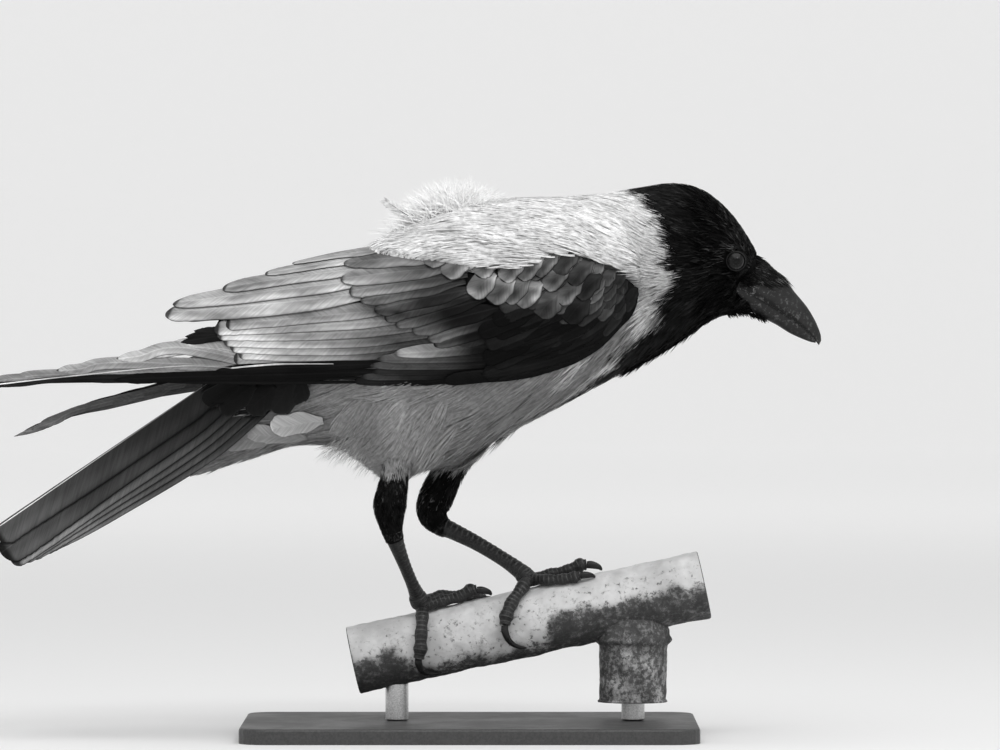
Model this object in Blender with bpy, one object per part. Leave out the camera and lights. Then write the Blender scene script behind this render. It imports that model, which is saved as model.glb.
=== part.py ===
"""A hooded crow at life size, standing on a short cut length of handrail, on a plain display stand.

The bird faces +X and +Z is up, so its right side is towards -Y. The origin is the middle of the
underside of the stand's base. Sizes below are in millimetres, and add_solid turns them into metres.
"""

import math

import bmesh
import bpy
import numpy as np
from mathutils import Vector

MM = 0.001
GAP = 0.3  # clearance between pieces that meet

# ---- driving sizes -------------------------------------------------------------------------------

RAIL_RADIUS = 17.5
RAIL_SLOPE = math.radians(12.2)
RAIL_POINT = (-5.2, 51.3)  # a point (x, z) on the rail's axis
RAIL_ENDS = (-57.0, 130.0)  # along the axis, from RAIL_POINT
RAIL_RIM = 2.6  # width of the rim left round each end's shallow recess
POST_X = 84.8
POST_RADIUS = 17.5
POST_FOOT = 19.0
WELD_GROWTH = 2.0

BASE_SIZE = (236.0, 150.0, 8.0)
BASE_CORNER = 14.0
ROD_RADIUS = 6.0
REAR_ROD_X = -38.0

EYE_X, EYE_Z = 137.6, 246.8
EYE_RADIUS = 6.0
EYE_SUNK = 3.1  # how far the eye's centre lies inside the side of the head

# Body sections from tail to chin: top (x, z), bottom (x, z), half width, height of the widest level
# as a share of the section, and how square the section is above and below that level.
BODY = (
    (-139.0, 184.0, -145.5, 134.5, 5.0, 0.50, 2.0, 2.0),
    (-117.0, 205.0, -117.0, 143.0, 19.0, 0.50, 2.0, 2.0),
    (-93.0, 226.0, -90.0, 151.0, 31.0, 0.50, 2.0, 2.0),
    (-65.0, 247.0, -62.5, 149.0, 41.0, 0.52, 2.1, 2.0),
    (-37.0, 264.5, -37.5, 139.5, 48.0, 0.54, 2.1, 2.0),
    (-9.0, 277.0, -8.0, 142.0, 51.5, 0.54, 2.1, 2.1),
    (18.0, 280.0, 21.0, 157.5, 52.5, 0.52, 2.1, 2.1),
    (46.0, 281.0, 49.0, 172.0, 49.5, 0.52, 2.1, 2.1),
    (69.0, 282.5, 74.0, 185.5, 42.0, 0.52, 2.1, 2.1),
    (88.0, 285.5, 96.0, 197.0, 34.5, 0.52, 2.1, 2.1),
    (105.0, 287.6, 114.0, 208.5, 28.5, 0.54, 2.1, 2.0),
    (121.2, 283.9, 127.5, 217.0, 24.5, 0.55, 2.2, 1.9),
    (135.2, 272.3, 138.0, 219.7, 21.5, 0.56, 2.2, 1.8),
    (145.2, 258.0, 146.5, 220.5, 15.5, 0.60, 2.2, 1.6),
    (149.5, 249.0, 151.0, 219.3, 9.5, 0.55, 2.0, 1.6),
    (153.5, 229.0, 155.0, 217.0, 3.0, 0.50, 2.0, 2.0),
)
TRUNK_END = 9.15  # section numbers where the body is parted
NECK_END = 10.6

# The folded wings lie on one rounded roof: at each x, its middle height, half height and half width.
ROOF = (
    (-262.0, 182.0, 26.0, 17.5),
    (-244.0, 182.0, 27.0, 20.0),
    (-192.0, 186.0, 30.0, 27.5),
    (-156.0, 194.5, 32.5, 31.0),
    (-135.0, 197.3, 38.0, 35.0),
    (-114.4, 199.7, 42.3, 40.5),
    (-88.4, 203.3, 44.6, 46.0),
    (-62.4, 208.5, 46.8, 51.5),
    (-36.4, 213.0, 51.0, 56.0),
    (-15.6, 215.3, 57.0, 58.0),
    (15.6, 217.4, 62.0, 58.5),
    (46.8, 220.5, 61.5, 55.0),
    (67.6, 221.5, 60.0, 49.5),
    (90.0, 226.0, 57.0, 41.0),
)

# Each wing block from its front edge back: x, top z, bottom z, thickness.
COVERTS = (
    (85.3, 231.9, 226.5, 2.5),
    (83.7, 235.4, 219.4, 4.0),
    (80.1, 238.7, 212.2, 5.0),
    (70.2, 242.3, 200.7, 6.0),
    (57.2, 244.9, 189.8, 6.0),
    (39.0, 245.4, 183.0, 6.0),
    (15.6, 244.8, 181.0, 6.0),
    (-15.6, 249.6, 179.4, 6.0),
    (-36.4, 252.4, 179.4, 5.5),
    (-61.4, 254.2, 179.9, 4.0),
)
TERTIALS = (
    (-62.4, 253.4, 217.4, 3.5),
    (-88.4, 247.0, 215.3, 3.5),
    (-114.4, 241.3, 214.2, 3.2),
    (-135.2, 234.5, 214.8, 3.0),
    (-148.2, 228.8, 216.3, 2.4),
    (-155.0, 225.2, 219.2, 1.8),
    (-157.6, 223.4, 221.6, 1.2),
)
SECONDARIES = (
    (-62.4, 216.1, 195.2, 3.5),
    (-88.4, 214.2, 196.5, 3.4),
    (-112.4, 213.2, 197.5, 3.0),
    (-119.6, 212.7, 199.2, 2.6),
    (-125.8, 212.0, 203.4, 2.2),
    (-131.0, 211.2, 207.0, 1.7),
    (-133.8, 210.2, 209.0, 1.2),
)
PRIMARIES = (
    (-62.4, 194.2, 179.9, 3.5),
    (-88.4, 195.2, 181.0, 3.4),
    (-112.0, 196.2, 182.6, 3.2),
    (-119.6, 198.0, 183.2, 3.0),
    (-125.8, 201.8, 183.4, 3.0),
    (-131.0, 205.0, 183.6, 3.0),
    (-136.0, 207.8, 183.8, 2.8),
    (-143.0, 209.8, 184.1, 2.6),
    (-149.0, 209.6, 184.3, 2.6),
    (-158.6, 204.4, 184.6, 2.5),
    (-171.6, 201.8, 185.1, 2.4),
    (-195.0, 196.6, 185.1, 2.2),
    (-218.4, 192.4, 183.6, 2.0),
    (-244.4, 187.2, 181.0, 1.6),
    (-255.0, 184.4, 181.3, 1.3),
    (-259.0, 183.0, 181.9, 1.0),
)
WING_BLOCKS = {
    "coverts": COVERTS,
    "tertials": TERTIALS,
    "secondaries": SECONDARIES,
    "primaries": PRIMARIES,
}
# The room that a whole folded wing takes out of the trunk: x, top z, bottom z, depth.
WING_ROOM = (
    (86.8, 233.4, 225.0, 4.2),
    (85.0, 236.8, 217.6, 5.8),
    (81.2, 240.1, 210.4, 6.8),
    (70.2, 243.7, 199.1, 7.6),
    (57.2, 246.3, 188.3, 7.6),
    (39.0, 246.8, 181.6, 7.6),
    (15.6, 246.4, 179.6, 7.6),
    (-15.6, 251.0, 178.0, 7.6),
    (-36.4, 254.2, 178.0, 8.4),
    (-62.4, 255.8, 178.3, 7.0),
    (-100.0, 246.0, 179.6, 5.2),
    (-142.0, 234.0, 181.0, 5.0),
)
# The left wing's tip hangs below the right one's: as above, and how far each place has dropped.
LEFT_PRIMARIES = (
    (-62.4, 194.2, 179.9, 3.5, 0.0),
    (-88.4, 195.2, 181.0, 3.4, 0.0),
    (-112.0, 196.2, 182.4, 3.2, 0.0),
    (-121.0, 198.2, 182.8, 3.0, 0.0),
    (-128.0, 200.6, 182.9, 2.9, 0.2),
    (-138.3, 200.4, 182.7, 2.8, 1.0),
    (-150.0, 196.8, 180.9, 2.6, 3.0),
    (-165.0, 189.8, 178.3, 2.3, 6.5),
    (-182.5, 181.1, 175.1, 2.1, 11.0),
    (-204.4, 171.1, 167.2, 1.8, 17.5),
    (-225.0, 161.7, 159.5, 1.3, 23.5),
    (-237.0, 156.2, 155.1, 1.0, 27.0),
)

# The tail is a tent along a sloping ridge, rolled so that its right side faces out: share of the
# length, right width, left width, thickness.
TAIL_ROOT = (-96.0, 210.6)
TAIL_SLOPE = math.radians(33.9)
TAIL_LENGTH = 187.5
TAIL_RIGHT_FALL = math.radians(52.0)
TAIL_LEFT_FALL = math.radians(14.0)
TAIL = (
    (0.00, 43.0, 20.0, 4.0),
    (0.25, 45.0, 25.0, 3.6),
    (0.50, 43.0, 29.0, 3.2),
    (0.75, 38.0, 31.0, 2.6),
    (0.88, 35.5, 31.0, 2.2),
    (0.95, 33.0, 29.0, 1.8),
    (0.985, 28.5, 24.0, 1.5),
    (1.00, 22.0, 15.0, 1.2),
)

# Bill sections from its root to its tip: ridge (x, z), mouth line (x, z), lower edge (x, z) and half
# width. The two mandibles meet along the mouth line.
BILL = (
    (147.5, 250.0, 138.5, 233.5, 135.5, 228.0, 9.6),
    (153.3, 245.7, 145.5, 230.0, 142.5, 224.5, 9.2),
    (157.5, 241.6, 150.5, 226.9, 147.2, 220.6, 8.3),
    (164.0, 236.6, 157.0, 223.2, 153.5, 216.8, 7.0),
    (169.4, 230.1, 163.2, 219.2, 159.6, 213.6, 5.8),
    (175.1, 223.2, 169.3, 215.3, 166.0, 209.6, 4.5),
    (179.2, 216.4, 174.3, 211.2, 172.0, 206.8, 3.2),
    (181.6, 211.0, 178.2, 207.4, 176.9, 204.9, 2.0),
)
BILL_TIP = (182.6, 205.6, 181.4, 203.2, 0.9)  # top (x, z), end (x, z) and half width of the hook

# Legs: points (x, y, z) and radii from inside the belly to the foot; parted at the hock.
LEGS = {
    "right": (
        ((-36.0, -30.0, 148.0), 10.0),
        ((-38.5, -33.5, 135.7), 7.4),
        ((-41.0, -36.5, 122.0), 8.6),
        ((-40.8, -37.3, 114.0), 7.0),
        ((-39.8, -37.0, 107.5), 5.2),
        ((-37.6, -34.0, 100.5), 4.1),
        ((-34.2, -27.5, 91.0), 3.3),
        ((-30.2, -18.0, 80.6), 3.2),
        ((-27.8, -12.0, 74.6), 3.9),
        ((-26.4, -9.4, 70.8), 4.6),
    ),
    "left": (
        ((-5.0, 19.0, 150.0), 10.5),
        ((-11.0, 21.5, 137.8), 8.8),
        ((-18.2, 23.5, 122.6), 9.2),
        ((-19.5, 24.0, 114.5), 8.0),
        ((-15.4, 23.6, 108.6), 5.4),
        ((-9.5, 22.0, 105.9), 4.5),
        ((4.0, 16.0, 99.3), 3.9),
        ((17.5, 8.5, 91.4), 3.8),
        ((25.5, 3.0, 85.9), 4.3),
        ((29.0, 0.6, 82.8), 4.7),
    ),
}
HOCK = 4.35  # place of the parting along each leg's points
LEG_END = 8.9

# Toes, as places on the rail: distance along it, degrees round from its top towards -Y, height of
# the toe's middle over the rail's surface, and radius. Toe 1 points back, 2 is the inner toe.
TOES = {
    "right": {
        1: ((-16.2, 20.0, 4.3, 3.3), (-16.6, 45.0, 4.2, 3.3), (-19.0, 72.0, 3.9, 3.2),
            (-21.0, 92.0, 3.9, 3.5), (-23.0, 105.0, 4.0, 2.6)),
        2: ((-15.4, 16.0, 4.2, 3.2), (-10.0, -12.0, 5.0, 3.0), (-6.0, -38.0, 3.6, 2.7),
            (-4.0, -60.0, 3.2, 2.6), (-3.6, -71.0, 3.3, 2.1)),
        3: ((-14.9, 17.0, 4.2, 3.3), (-5.5, 0.0, 5.4, 3.1), (4.0, -18.0, 3.9, 2.9),
            (12.0, -32.0, 3.5, 2.9), (17.0, -41.0, 3.7, 2.2)),
        4: ((-14.9, 20.0, 4.2, 3.3), (-4.5, 15.0, 3.8, 3.0), (4.0, 13.0, 4.0, 3.1),
            (10.5, 12.0, 5.6, 3.6), (13.8, 12.0, 5.2, 2.7)),
    },
    "left": {
        1: ((41.7, 0.5, 3.9, 3.3), (37.6, 28.0, 4.2, 3.3), (30.0, 55.0, 3.8, 3.3),
            (26.0, 73.0, 3.8, 3.6), (24.2, 84.5, 4.0, 2.7)),
        2: ((43.2, 3.0, 3.7, 3.1), (51.0, 20.0, 3.5, 2.9), (59.0, 27.0, 3.3, 2.8),
            (65.0, 29.0, 3.6, 3.0), (68.0, 29.5, 3.7, 2.2)),
        3: ((43.0, 0.0, 4.0, 3.3), (53.0, -2.0, 4.4, 3.1), (62.0, -2.0, 4.6, 3.0),
            (69.0, -1.0, 5.8, 3.6), (72.4, -1.0, 5.4, 2.7)),
        4: ((43.2, -3.0, 3.6, 3.0), (49.5, -22.0, 5.0, 3.0), (56.5, -42.0, 3.6, 2.8),
            (61.5, -58.0, 3.3, 2.8), (64.0, -67.0, 3.5, 2.2)),
    },
}
# Claws, placed in the same way. Each begins where its toe ends.
CLAWS = {
    "right": {
        1: ((-23.5, 112.0, 3.9, 2.3), (-22.4, 127.0, 3.1, 1.8), (-18.0, 139.0, 2.0, 1.2),
            (-12.8, 147.0, 1.0, 0.55)),
        2: ((-3.4, -78.0, 3.6, 1.9), (-3.2, -92.0, 3.0, 1.3), (-3.0, -104.0, 1.2, 0.5)),
        3: ((20.0, -47.0, 3.9, 2.0), (25.0, -56.0, 3.2, 1.4), (27.5, -62.0, 1.1, 0.5)),
        4: ((16.4, 12.0, 4.6, 2.0), (19.6, 12.0, 2.9, 1.4), (20.8, 12.0, 0.9, 0.5)),
    },
    "left": {
        1: ((23.7, 94.0, 3.9, 2.3), (25.0, 109.0, 3.0, 1.8), (28.4, 122.0, 1.9, 1.2),
            (33.0, 131.0, 1.0, 0.55)),
        2: ((70.4, 29.5, 3.6, 1.9), (73.6, 30.0, 2.6, 1.3), (75.4, 30.0, 0.9, 0.5)),
        3: ((75.0, -1.0, 4.8, 2.0), (78.2, -1.0, 3.0, 1.4), (79.6, -1.0, 0.9, 0.5)),
        4: ((66.2, -74.0, 3.6, 1.9), (69.0, -87.0, 2.9, 1.3), (70.6, -98.0, 1.2, 0.5)),
    },
}

BODY_SIDES = 24
LIMB_SIDES = 10
TOE_SIDES = 6

BLACK = (0.012, 0.012, 0.014)
GREY = (0.62, 0.61, 0.60)
HORN = (0.03, 0.03, 0.033)
RUST = (0.42, 0.40, 0.38)
CHARCOAL = (0.05, 0.05, 0.055)
STEEL = (0.6, 0.6, 0.62)


# ---- curves --------------------------------------------------------------------------------------

def through(keys, t):
    """A smooth curve through the rows of keys, at t counted in rows: Catmull and Rom's cubic."""
    keys = np.asarray(keys, float)
    padded = np.vstack([2 * keys[0] - keys[1], keys, 2 * keys[-1] - keys[-2]])
    t = np.clip(np.atleast_1d(np.asarray(t, float)), 0, len(keys) - 1)
    i = np.minimum(t.astype(int), len(keys) - 2)
    f = (t - i)[:, None]
    a, b, c, d = (padded[i + k] for k in range(4))
    return 0.5 * (2 * b + (c - a) * f + (2 * a - 5 * b + 4 * c - d) * f**2
                  + (3 * b - a - 3 * c + d) * f**3)


def roof_at(x):
    """The wings' roof at x: middle height, half height and half width."""
    rows = np.array(ROOF)
    place = np.interp(x, rows[:, 0], np.arange(len(rows)))
    return through(rows[:, 1:], place)[0]


def on_rail(along, degrees, height):
    """A point over the rail's surface."""
    angle = math.radians(degrees)
    reach = RAIL_RADIUS + height
    c, s = math.cos(RAIL_SLOPE), math.sin(RAIL_SLOPE)
    up = reach * math.cos(angle)
    x = RAIL_POINT[0] + along * c - up * s
    z = RAIL_POINT[1] + along * s + up * c
    return (x, -reach * math.sin(angle), z)


# ---- sections ------------------------------------------------------------------------------------

def body_ring(station):
    """The body's closed section at a station: superellipse halves above and below its widest level."""
    tx, tz, bx, bz, half, level, above, below = through(BODY, station)[0]
    angles = np.arange(BODY_SIDES) * 2 * math.pi / BODY_SIDES
    c, s = np.cos(angles), np.sin(angles)
    power = np.where(c >= 0, above, below)
    rise = np.sign(c) * np.abs(c) ** (2 / power)
    side = np.sign(s) * np.abs(s) ** (2 / power)
    height = np.where(c >= 0, level + (1 - level) * rise, level + level * rise)
    return np.stack([bx + (tx - bx) * height, half * side, bz + (tz - bz) * height], axis=1)


def body_rings(start, end, count):
    return np.array([body_ring(u) for u in np.linspace(start, end, count)])


def wing_ring(row, side, outward=0.0, steps=5):
    """A wing block's section at one x: an arc on the roof, and back along an arc inside it."""
    x, top, bottom, thick = row[:4]
    drop = row[4] if len(row) > 4 else 0.0
    middle, high, wide = roof_at(x)
    middle -= drop
    ends = [math.acos(max(-1.0, min(1.0, (z - middle) / high))) for z in (top, bottom)]
    share = np.linspace(0, 1, steps)
    angle = ends[0] + (ends[1] - ends[0]) * share
    depth = thick * (0.4 + 0.6 * np.sqrt(np.sin(math.pi * share)))
    outer = np.stack([(wide + outward) * np.sin(angle), middle + (high + outward) * np.cos(angle)], 1)
    inner = np.stack([(wide - depth) * np.sin(angle), middle + (high - depth) * np.cos(angle)], 1)
    arc = np.vstack([outer, inner[::-1]])
    return np.column_stack([np.full(len(arc), x), side * arc[:, 0], arc[:, 1]])


def wing_rings(rows, side, count, outward=0.0):
    places = np.linspace(0, len(rows) - 1, count)
    return np.array([wing_ring(row, side, outward) for row in through(rows, places)])


def tail_ring(row, grow=0.0, steps=4):
    """The tail's section: two slopes that fall away from the ridge, closed by an inner copy."""
    share, right, left, thick = row
    c, s = math.cos(TAIL_SLOPE), math.sin(TAIL_SLOPE)
    ridge = np.array([TAIL_ROOT[0] - share * TAIL_LENGTH * c, TAIL_ROOT[1] - share * TAIL_LENGTH * s])
    out = np.linspace(1, 0, steps)
    right_side = np.stack([-out * (right + grow) * math.cos(TAIL_RIGHT_FALL),
                           -out * (right + grow) * math.sin(TAIL_RIGHT_FALL)], 1)
    left_side = np.stack([out[::-1] * (left + grow) * math.cos(TAIL_LEFT_FALL),
                          -out[::-1] * (left + grow) * math.sin(TAIL_LEFT_FALL)], 1)
    line = np.vstack([right_side, left_side[1:]])
    line[:, 1] -= 0.02 * (right + left) * (1 - np.cos(line[:, 0] / (right + left) * 2 * math.pi))
    edge = np.abs(np.linspace(-1, 1, len(line)))
    depth = thick * (1 - 0.6 * edge**3)
    fall = np.interp(line[:, 0], [-right * math.cos(TAIL_RIGHT_FALL), left * math.cos(TAIL_LEFT_FALL)],
                     [-TAIL_RIGHT_FALL, TAIL_LEFT_FALL])
    inward = np.stack([-np.sin(fall), -np.cos(fall)], 1)
    upper = line - inward * grow
    lower = line + inward * (depth + grow)[:, None]
    loop = np.vstack([upper, lower[::-1]])
    return np.column_stack([ridge[0] - loop[:, 1] * s, loop[:, 0], ridge[1] + loop[:, 1] * c])


def half_moon(top, bottom, half, flat_at_bottom, sides=9):
    """A bill section between two points: round on one side and flat at the mouth line."""
    top, bottom = np.array(top), np.array(bottom)
    angle = np.linspace(-math.pi / 2, math.pi / 2, sides)
    across = half * np.sin(angle)
    rise = np.abs(np.cos(angle)) ** 0.85
    if not flat_at_bottom:
        top, bottom = bottom, top
    line = bottom + (top - bottom) * rise[:, None]
    return np.column_stack([line[:, 0], across, line[:, 1]])


def tube_rings(points, radii, sides, tangents=None):
    """Round sections square to a line of points, each turned as little as it can be from the last."""
    points = np.asarray(points, float)
    tangents = np.gradient(points, axis=0) if tangents is None else tangents
    tangents = tangents / np.linalg.norm(tangents, axis=1)[:, None]
    across = np.cross(tangents[0], (0.0, 0.3, 1.0))
    rings = []
    for point, tangent, radius in zip(points, tangents, radii):
        across = across - tangent * np.dot(across, tangent)
        across /= np.linalg.norm(across)
        other = np.cross(tangent, across)
        angle = np.arange(sides)[:, None] * 2 * math.pi / sides
        rings.append(point + radius * (np.cos(angle) * across + np.sin(angle) * other))
    return np.array(rings)


# ---- solids --------------------------------------------------------------------------------------

def finish_of(name, colour, roughness, metallic=0.0):
    """The material of that name, made once."""
    material = bpy.data.materials.get(name)
    if material is None:
        material = bpy.data.materials.new(name)
        material.use_nodes = True
        shader = material.node_tree.nodes["Principled BSDF"]
        shader.inputs["Base Color"].default_value = (*colour, 1.0)
        shader.inputs["Roughness"].default_value = roughness
        shader.inputs["Metallic"].default_value = metallic
    return material


def add_solid(name, rings, material=None):
    """A closed body skinned over the rings, with a flat cap at each end, placed by its middle."""
    count, sides = rings.shape[:2]
    across = np.arange(sides)
    start = np.arange(count - 1)[:, None] * sides
    following = (across + 1) % sides
    quads = np.stack([start + across, start + following, start + sides + following,
                      start + sides + across], axis=2).reshape(-1, 4)
    faces = quads.tolist() + [across[::-1].tolist(), (across + (count - 1) * sides).tolist()]
    points = rings.reshape(-1, 3) * MM
    middle = (points.min(axis=0) + points.max(axis=0)) / 2
    mesh = bpy.data.meshes.new(name)
    mesh.from_pydata((points - middle).tolist(), [], faces)
    shape = bmesh.new()
    shape.from_mesh(mesh)
    return add_object(name, shape, material, middle)


def add_rod(name, start, end, radius, sides=24, material=None):
    """A plain round rod between two points."""
    start, end = Vector(start) * MM, Vector(end) * MM
    shape = bmesh.new()
    bmesh.ops.create_cone(shape, cap_ends=True, segments=sides, radius1=radius * MM,
                          radius2=radius * MM, depth=(end - start).length)
    turn = (end - start).to_track_quat("Z", "Y")
    return add_object(name, shape, material, (start + end) / 2, turn.to_euler())


def add_ball(name, centre, radius, material=None):
    """A ball with its poles along Y."""
    shape = bmesh.new()
    bmesh.ops.create_uvsphere(shape, u_segments=12, v_segments=10, radius=radius * MM)
    return add_object(name, shape, material, Vector(centre) * MM, (math.pi / 2, 0, 0))


def add_object(name, shape, material, location=(0, 0, 0), rotation=(0, 0, 0)):
    """An object for the shape, its faces turned out and shaded smooth. A cutter has no material."""
    bmesh.ops.recalc_face_normals(shape, faces=shape.faces)
    mesh = bpy.data.meshes.get(name) or bpy.data.meshes.new(name)
    shape.to_mesh(mesh)
    shape.free()
    mesh.shade_smooth()
    mesh.set_sharp_from_angle(angle=math.radians(40))
    thing = bpy.data.objects.new(name, mesh)
    thing.location = location
    thing.rotation_euler = rotation
    bpy.context.scene.collection.objects.link(thing)
    if material is None:
        thing.hide_render = True
        thing.display_type = "WIRE"
    else:
        mesh.materials.append(material)
    return thing


def boolean(thing, other, operation="DIFFERENCE"):
    modifier = thing.modifiers.new(other.name, "BOOLEAN")
    modifier.operation = operation
    modifier.solver = "EXACT"
    modifier.object = other


def gather(name, things):
    """Parents the things to an empty at the origin."""
    empty = bpy.data.objects.new(name, None)
    bpy.context.scene.collection.objects.link(empty)
    for thing in things:
        thing.parent = empty


# ---- the bird ------------------------------------------------------------------------------------

def parted(start_station, end_station, count):
    """Rings between two stations, each end drawn back by half the gap."""
    inset = 0.5 * GAP / 17.0  # sections are at least 17 mm apart where the body is parted
    return body_rings(start_station + inset, end_station - inset, count)


def side_of_head(x, z):
    """Half the body's width at a place seen from the side."""
    stations = np.linspace(11, 14, 61)
    rings = np.array([body_ring(u) for u in stations])
    side = rings[:, : BODY_SIDES // 2 + 1].reshape(-1, 3)
    nearest = np.argsort((side[:, 0] - x) ** 2 + (side[:, 2] - z) ** 2)[:6]
    return float(side[nearest, 1].mean())


def build_body():
    grey = finish_of("grey_plumage", GREY, 0.85)
    black = finish_of("black_plumage", BLACK, 0.55)
    trunk = add_solid("trunk", parted(0.0, TRUNK_END, 20), grey)
    neck = add_solid("neck", parted(TRUNK_END, NECK_END, 4), grey)
    head = add_solid("head", parted(NECK_END, len(BODY) - 1, 14), black)
    return trunk, neck, head


def build_wings(trunk):
    black = finish_of("flight_feathers", BLACK, 0.4)
    made = []
    for name, side in (("right", -1), ("left", 1)):
        room = add_solid(f"room_{name}", wing_rings(WING_ROOM, side, 18, outward=12.0))
        boolean(trunk, room)
        for block, rows in WING_BLOCKS.items():
            if (name, block) == ("left", "primaries"):
                rows = LEFT_PRIMARIES
            rings = wing_rings(rows, side, round(1.35 * len(rows)))
            made.append(add_solid(f"wing_{name}_{block}", rings, black))
    return made


def build_tail(trunk):
    places = np.linspace(0, len(TAIL) - 1, 12)
    rows = through(TAIL, places)
    tail = add_solid("tail", np.array([tail_ring(row) for row in rows]),
                     finish_of("flight_feathers", BLACK, 0.4))
    rows[0, 0] -= GAP / TAIL_LENGTH
    slot = add_solid("tail_slot", np.array([tail_ring(row, GAP) for row in rows]))
    boolean(trunk, slot)
    return tail


def bill_rings(upper, grow=0.0):
    """Sections of one mandible, or of both with grow, from the root to the tip."""
    rings = []
    for rx, rz, mx, mz, lx, lz, half in through(BILL, np.linspace(0, len(BILL) - 1, 12)):
        ridge, mouth, lower = np.array([rx, rz]), np.array([mx, mz]), np.array([lx, lz])
        up = (ridge - lower) / np.linalg.norm(ridge - lower)
        if grow:
            ring = np.vstack([half_moon(ridge + up * grow, mouth, half + grow, True),
                              half_moon(mouth, lower - up * grow, half + grow, False)[::-1]])
        elif upper:
            ring = half_moon(ridge, mouth + up * GAP / 2, half, True)
        else:
            ring = half_moon(mouth - up * GAP / 2, lower, half * 0.94, False)
        rings.append(ring)
    if grow:
        rings[0] = rings[0] + (rings[0] - rings[1]) * 0.12
    elif upper:
        tx, tz, ex, ez, half = BILL_TIP
        rings.append(half_moon((tx, tz), (ex, ez), half, True))
    return np.array(rings)


def build_head_pieces(head):
    horn = finish_of("bill_horn", HORN, 0.35)
    made = [add_solid("bill_upper", bill_rings(True), horn),
            add_solid("bill_lower", bill_rings(False), horn)]
    boolean(head, add_solid("bill_slot", bill_rings(True, grow=GAP)))
    reach = side_of_head(EYE_X, EYE_Z) - EYE_SUNK
    for name, side in (("right", -1), ("left", 1)):
        centre = (EYE_X, side * reach, EYE_Z)
        made.append(add_ball(f"eye_{name}", centre, EYE_RADIUS,
                             finish_of("eye", (0.01, 0.01, 0.01), 0.08)))
        boolean(head, add_ball(f"socket_{name}", centre, EYE_RADIUS + 1.5 * GAP))
    return made


def limb_rings(points, radii, start, end, count, sides):
    """Round sections along a smooth curve, from one place on it to another."""
    places = np.linspace(start, end, count)
    middles = through(points, places)
    tangents = through(points, places + 0.25) - through(points, places - 0.25)
    thick = through([[radius] for radius in radii], places)[:, 0]
    return tube_rings(middles, thick, sides, tangents)


def parted_at(points, split):
    """The two places on a curve that lie half the gap before and after a place on it."""
    places = np.linspace(split - 0.45, split + 0.45, 181)
    line = through(points, places)
    length = np.concatenate([[0.0], np.cumsum(np.linalg.norm(np.diff(line, axis=0), axis=1))])
    middle = np.interp(split, places, length)
    return np.interp([middle - 0.7 * GAP, middle + 0.7 * GAP], length, places)


def build_leg(name, trunk):
    points = [point for point, _ in LEGS[name]]
    radii = [radius for _, radius in LEGS[name]]
    above, below = parted_at(points, HOCK)
    black = finish_of("black_plumage", BLACK, 0.55)
    scaled = finish_of("leg_scales", HORN, 0.4)
    thigh = limb_rings(points, radii, 0, above, 8, LIMB_SIDES)
    shank = limb_rings(points, radii, below, LEG_END, 8, LIMB_SIDES)
    hip_points = [np.array(points[0]) + (0, 0, 0.6), *points[1:]]
    hip = limb_rings(hip_points, [radius + 1.6 * GAP for radius in radii], 0, 3.0, 7, LIMB_SIDES)
    boolean(trunk, add_solid(f"hip_{name}", hip))
    return [add_solid(f"thigh_{name}", thigh, black), add_solid(f"shank_{name}", shank, scaled)]


def build_foot(name):
    """The toes joined at a palm under the shank, and a claw in front of each toe."""
    scaled = finish_of("leg_scales", HORN, 0.4)
    horn = finish_of("claw_horn", HORN, 0.3)
    leg_points = [point for point, _ in LEGS[name]]
    down = through(leg_points, LEG_END) - through(leg_points, LEG_END - 0.1)
    down = (down / np.linalg.norm(down))[0]
    top = through(leg_points, LEG_END)[0] + down * GAP
    palm = [top, top + down * 1.2, top + down * 2.8, top + down * 3.8]
    palm_rings = tube_rings(palm, [4.6, 4.9, 4.0, 2.4], LIMB_SIDES, np.tile(down, (4, 1)))
    foot = add_solid(f"foot_{name}", palm_rings, scaled)
    made = [foot]
    for number, rows in TOES[name].items():
        claw_rows = CLAWS[name][number]
        points = [on_rail(*row[:3]) for row in rows + claw_rows]
        toe_end, claw_start = parted_at(points, len(rows) - 0.5)
        toe_radii = [row[3] for row in rows + rows[-1:] * len(claw_rows)]
        claw_radii = [claw_rows[0][3]] * len(rows) + [row[3] for row in claw_rows]
        toe = limb_rings(points, toe_radii, 0, toe_end, 9, TOE_SIDES)
        claw = limb_rings(points, claw_radii, claw_start, len(points) - 1, 6, TOE_SIDES)
        boolean(foot, add_solid(f"toe_{name}_{number}", toe), "UNION")
        made.append(add_solid(f"claw_{name}_{number}", claw, horn))
    return made


# ---- perch and stand -----------------------------------------------------------------------------

def build_perch():
    """The rail with its welded post: one piece, with a shallow recess in each sawn end."""
    rust = finish_of("painted_rail", RUST, 0.8)
    direction = np.array([math.cos(RAIL_SLOPE), 0, math.sin(RAIL_SLOPE)])
    middle = np.array([RAIL_POINT[0], 0, RAIL_POINT[1]])
    ends = [middle + direction * along for along in RAIL_ENDS]
    rail = add_rod("perch_rail", *ends, RAIL_RADIUS, 32, rust)
    joint_z = RAIL_POINT[1] + (POST_X - RAIL_POINT[0]) * math.tan(RAIL_SLOPE)
    under = joint_z - RAIL_RADIUS
    heights = (POST_FOOT, under - 7.0, under - 3.5, under + 3.0, under + 8.0)
    radii = [POST_RADIUS + more for more in (0.0, 0.0, WELD_GROWTH, 1.0, -3.0)]
    post = tube_rings([(POST_X, 0, z) for z in heights], radii, 24)
    boolean(rail, add_solid("post", post), "UNION")
    for number, end in enumerate(ends):
        inward = direction * (1 if number == 0 else -1)
        recess = add_rod(f"recess_{number}", end - inward, end + inward * 1.5, RAIL_RADIUS - RAIL_RIM)
        boolean(rail, recess)
    return rail


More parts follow.
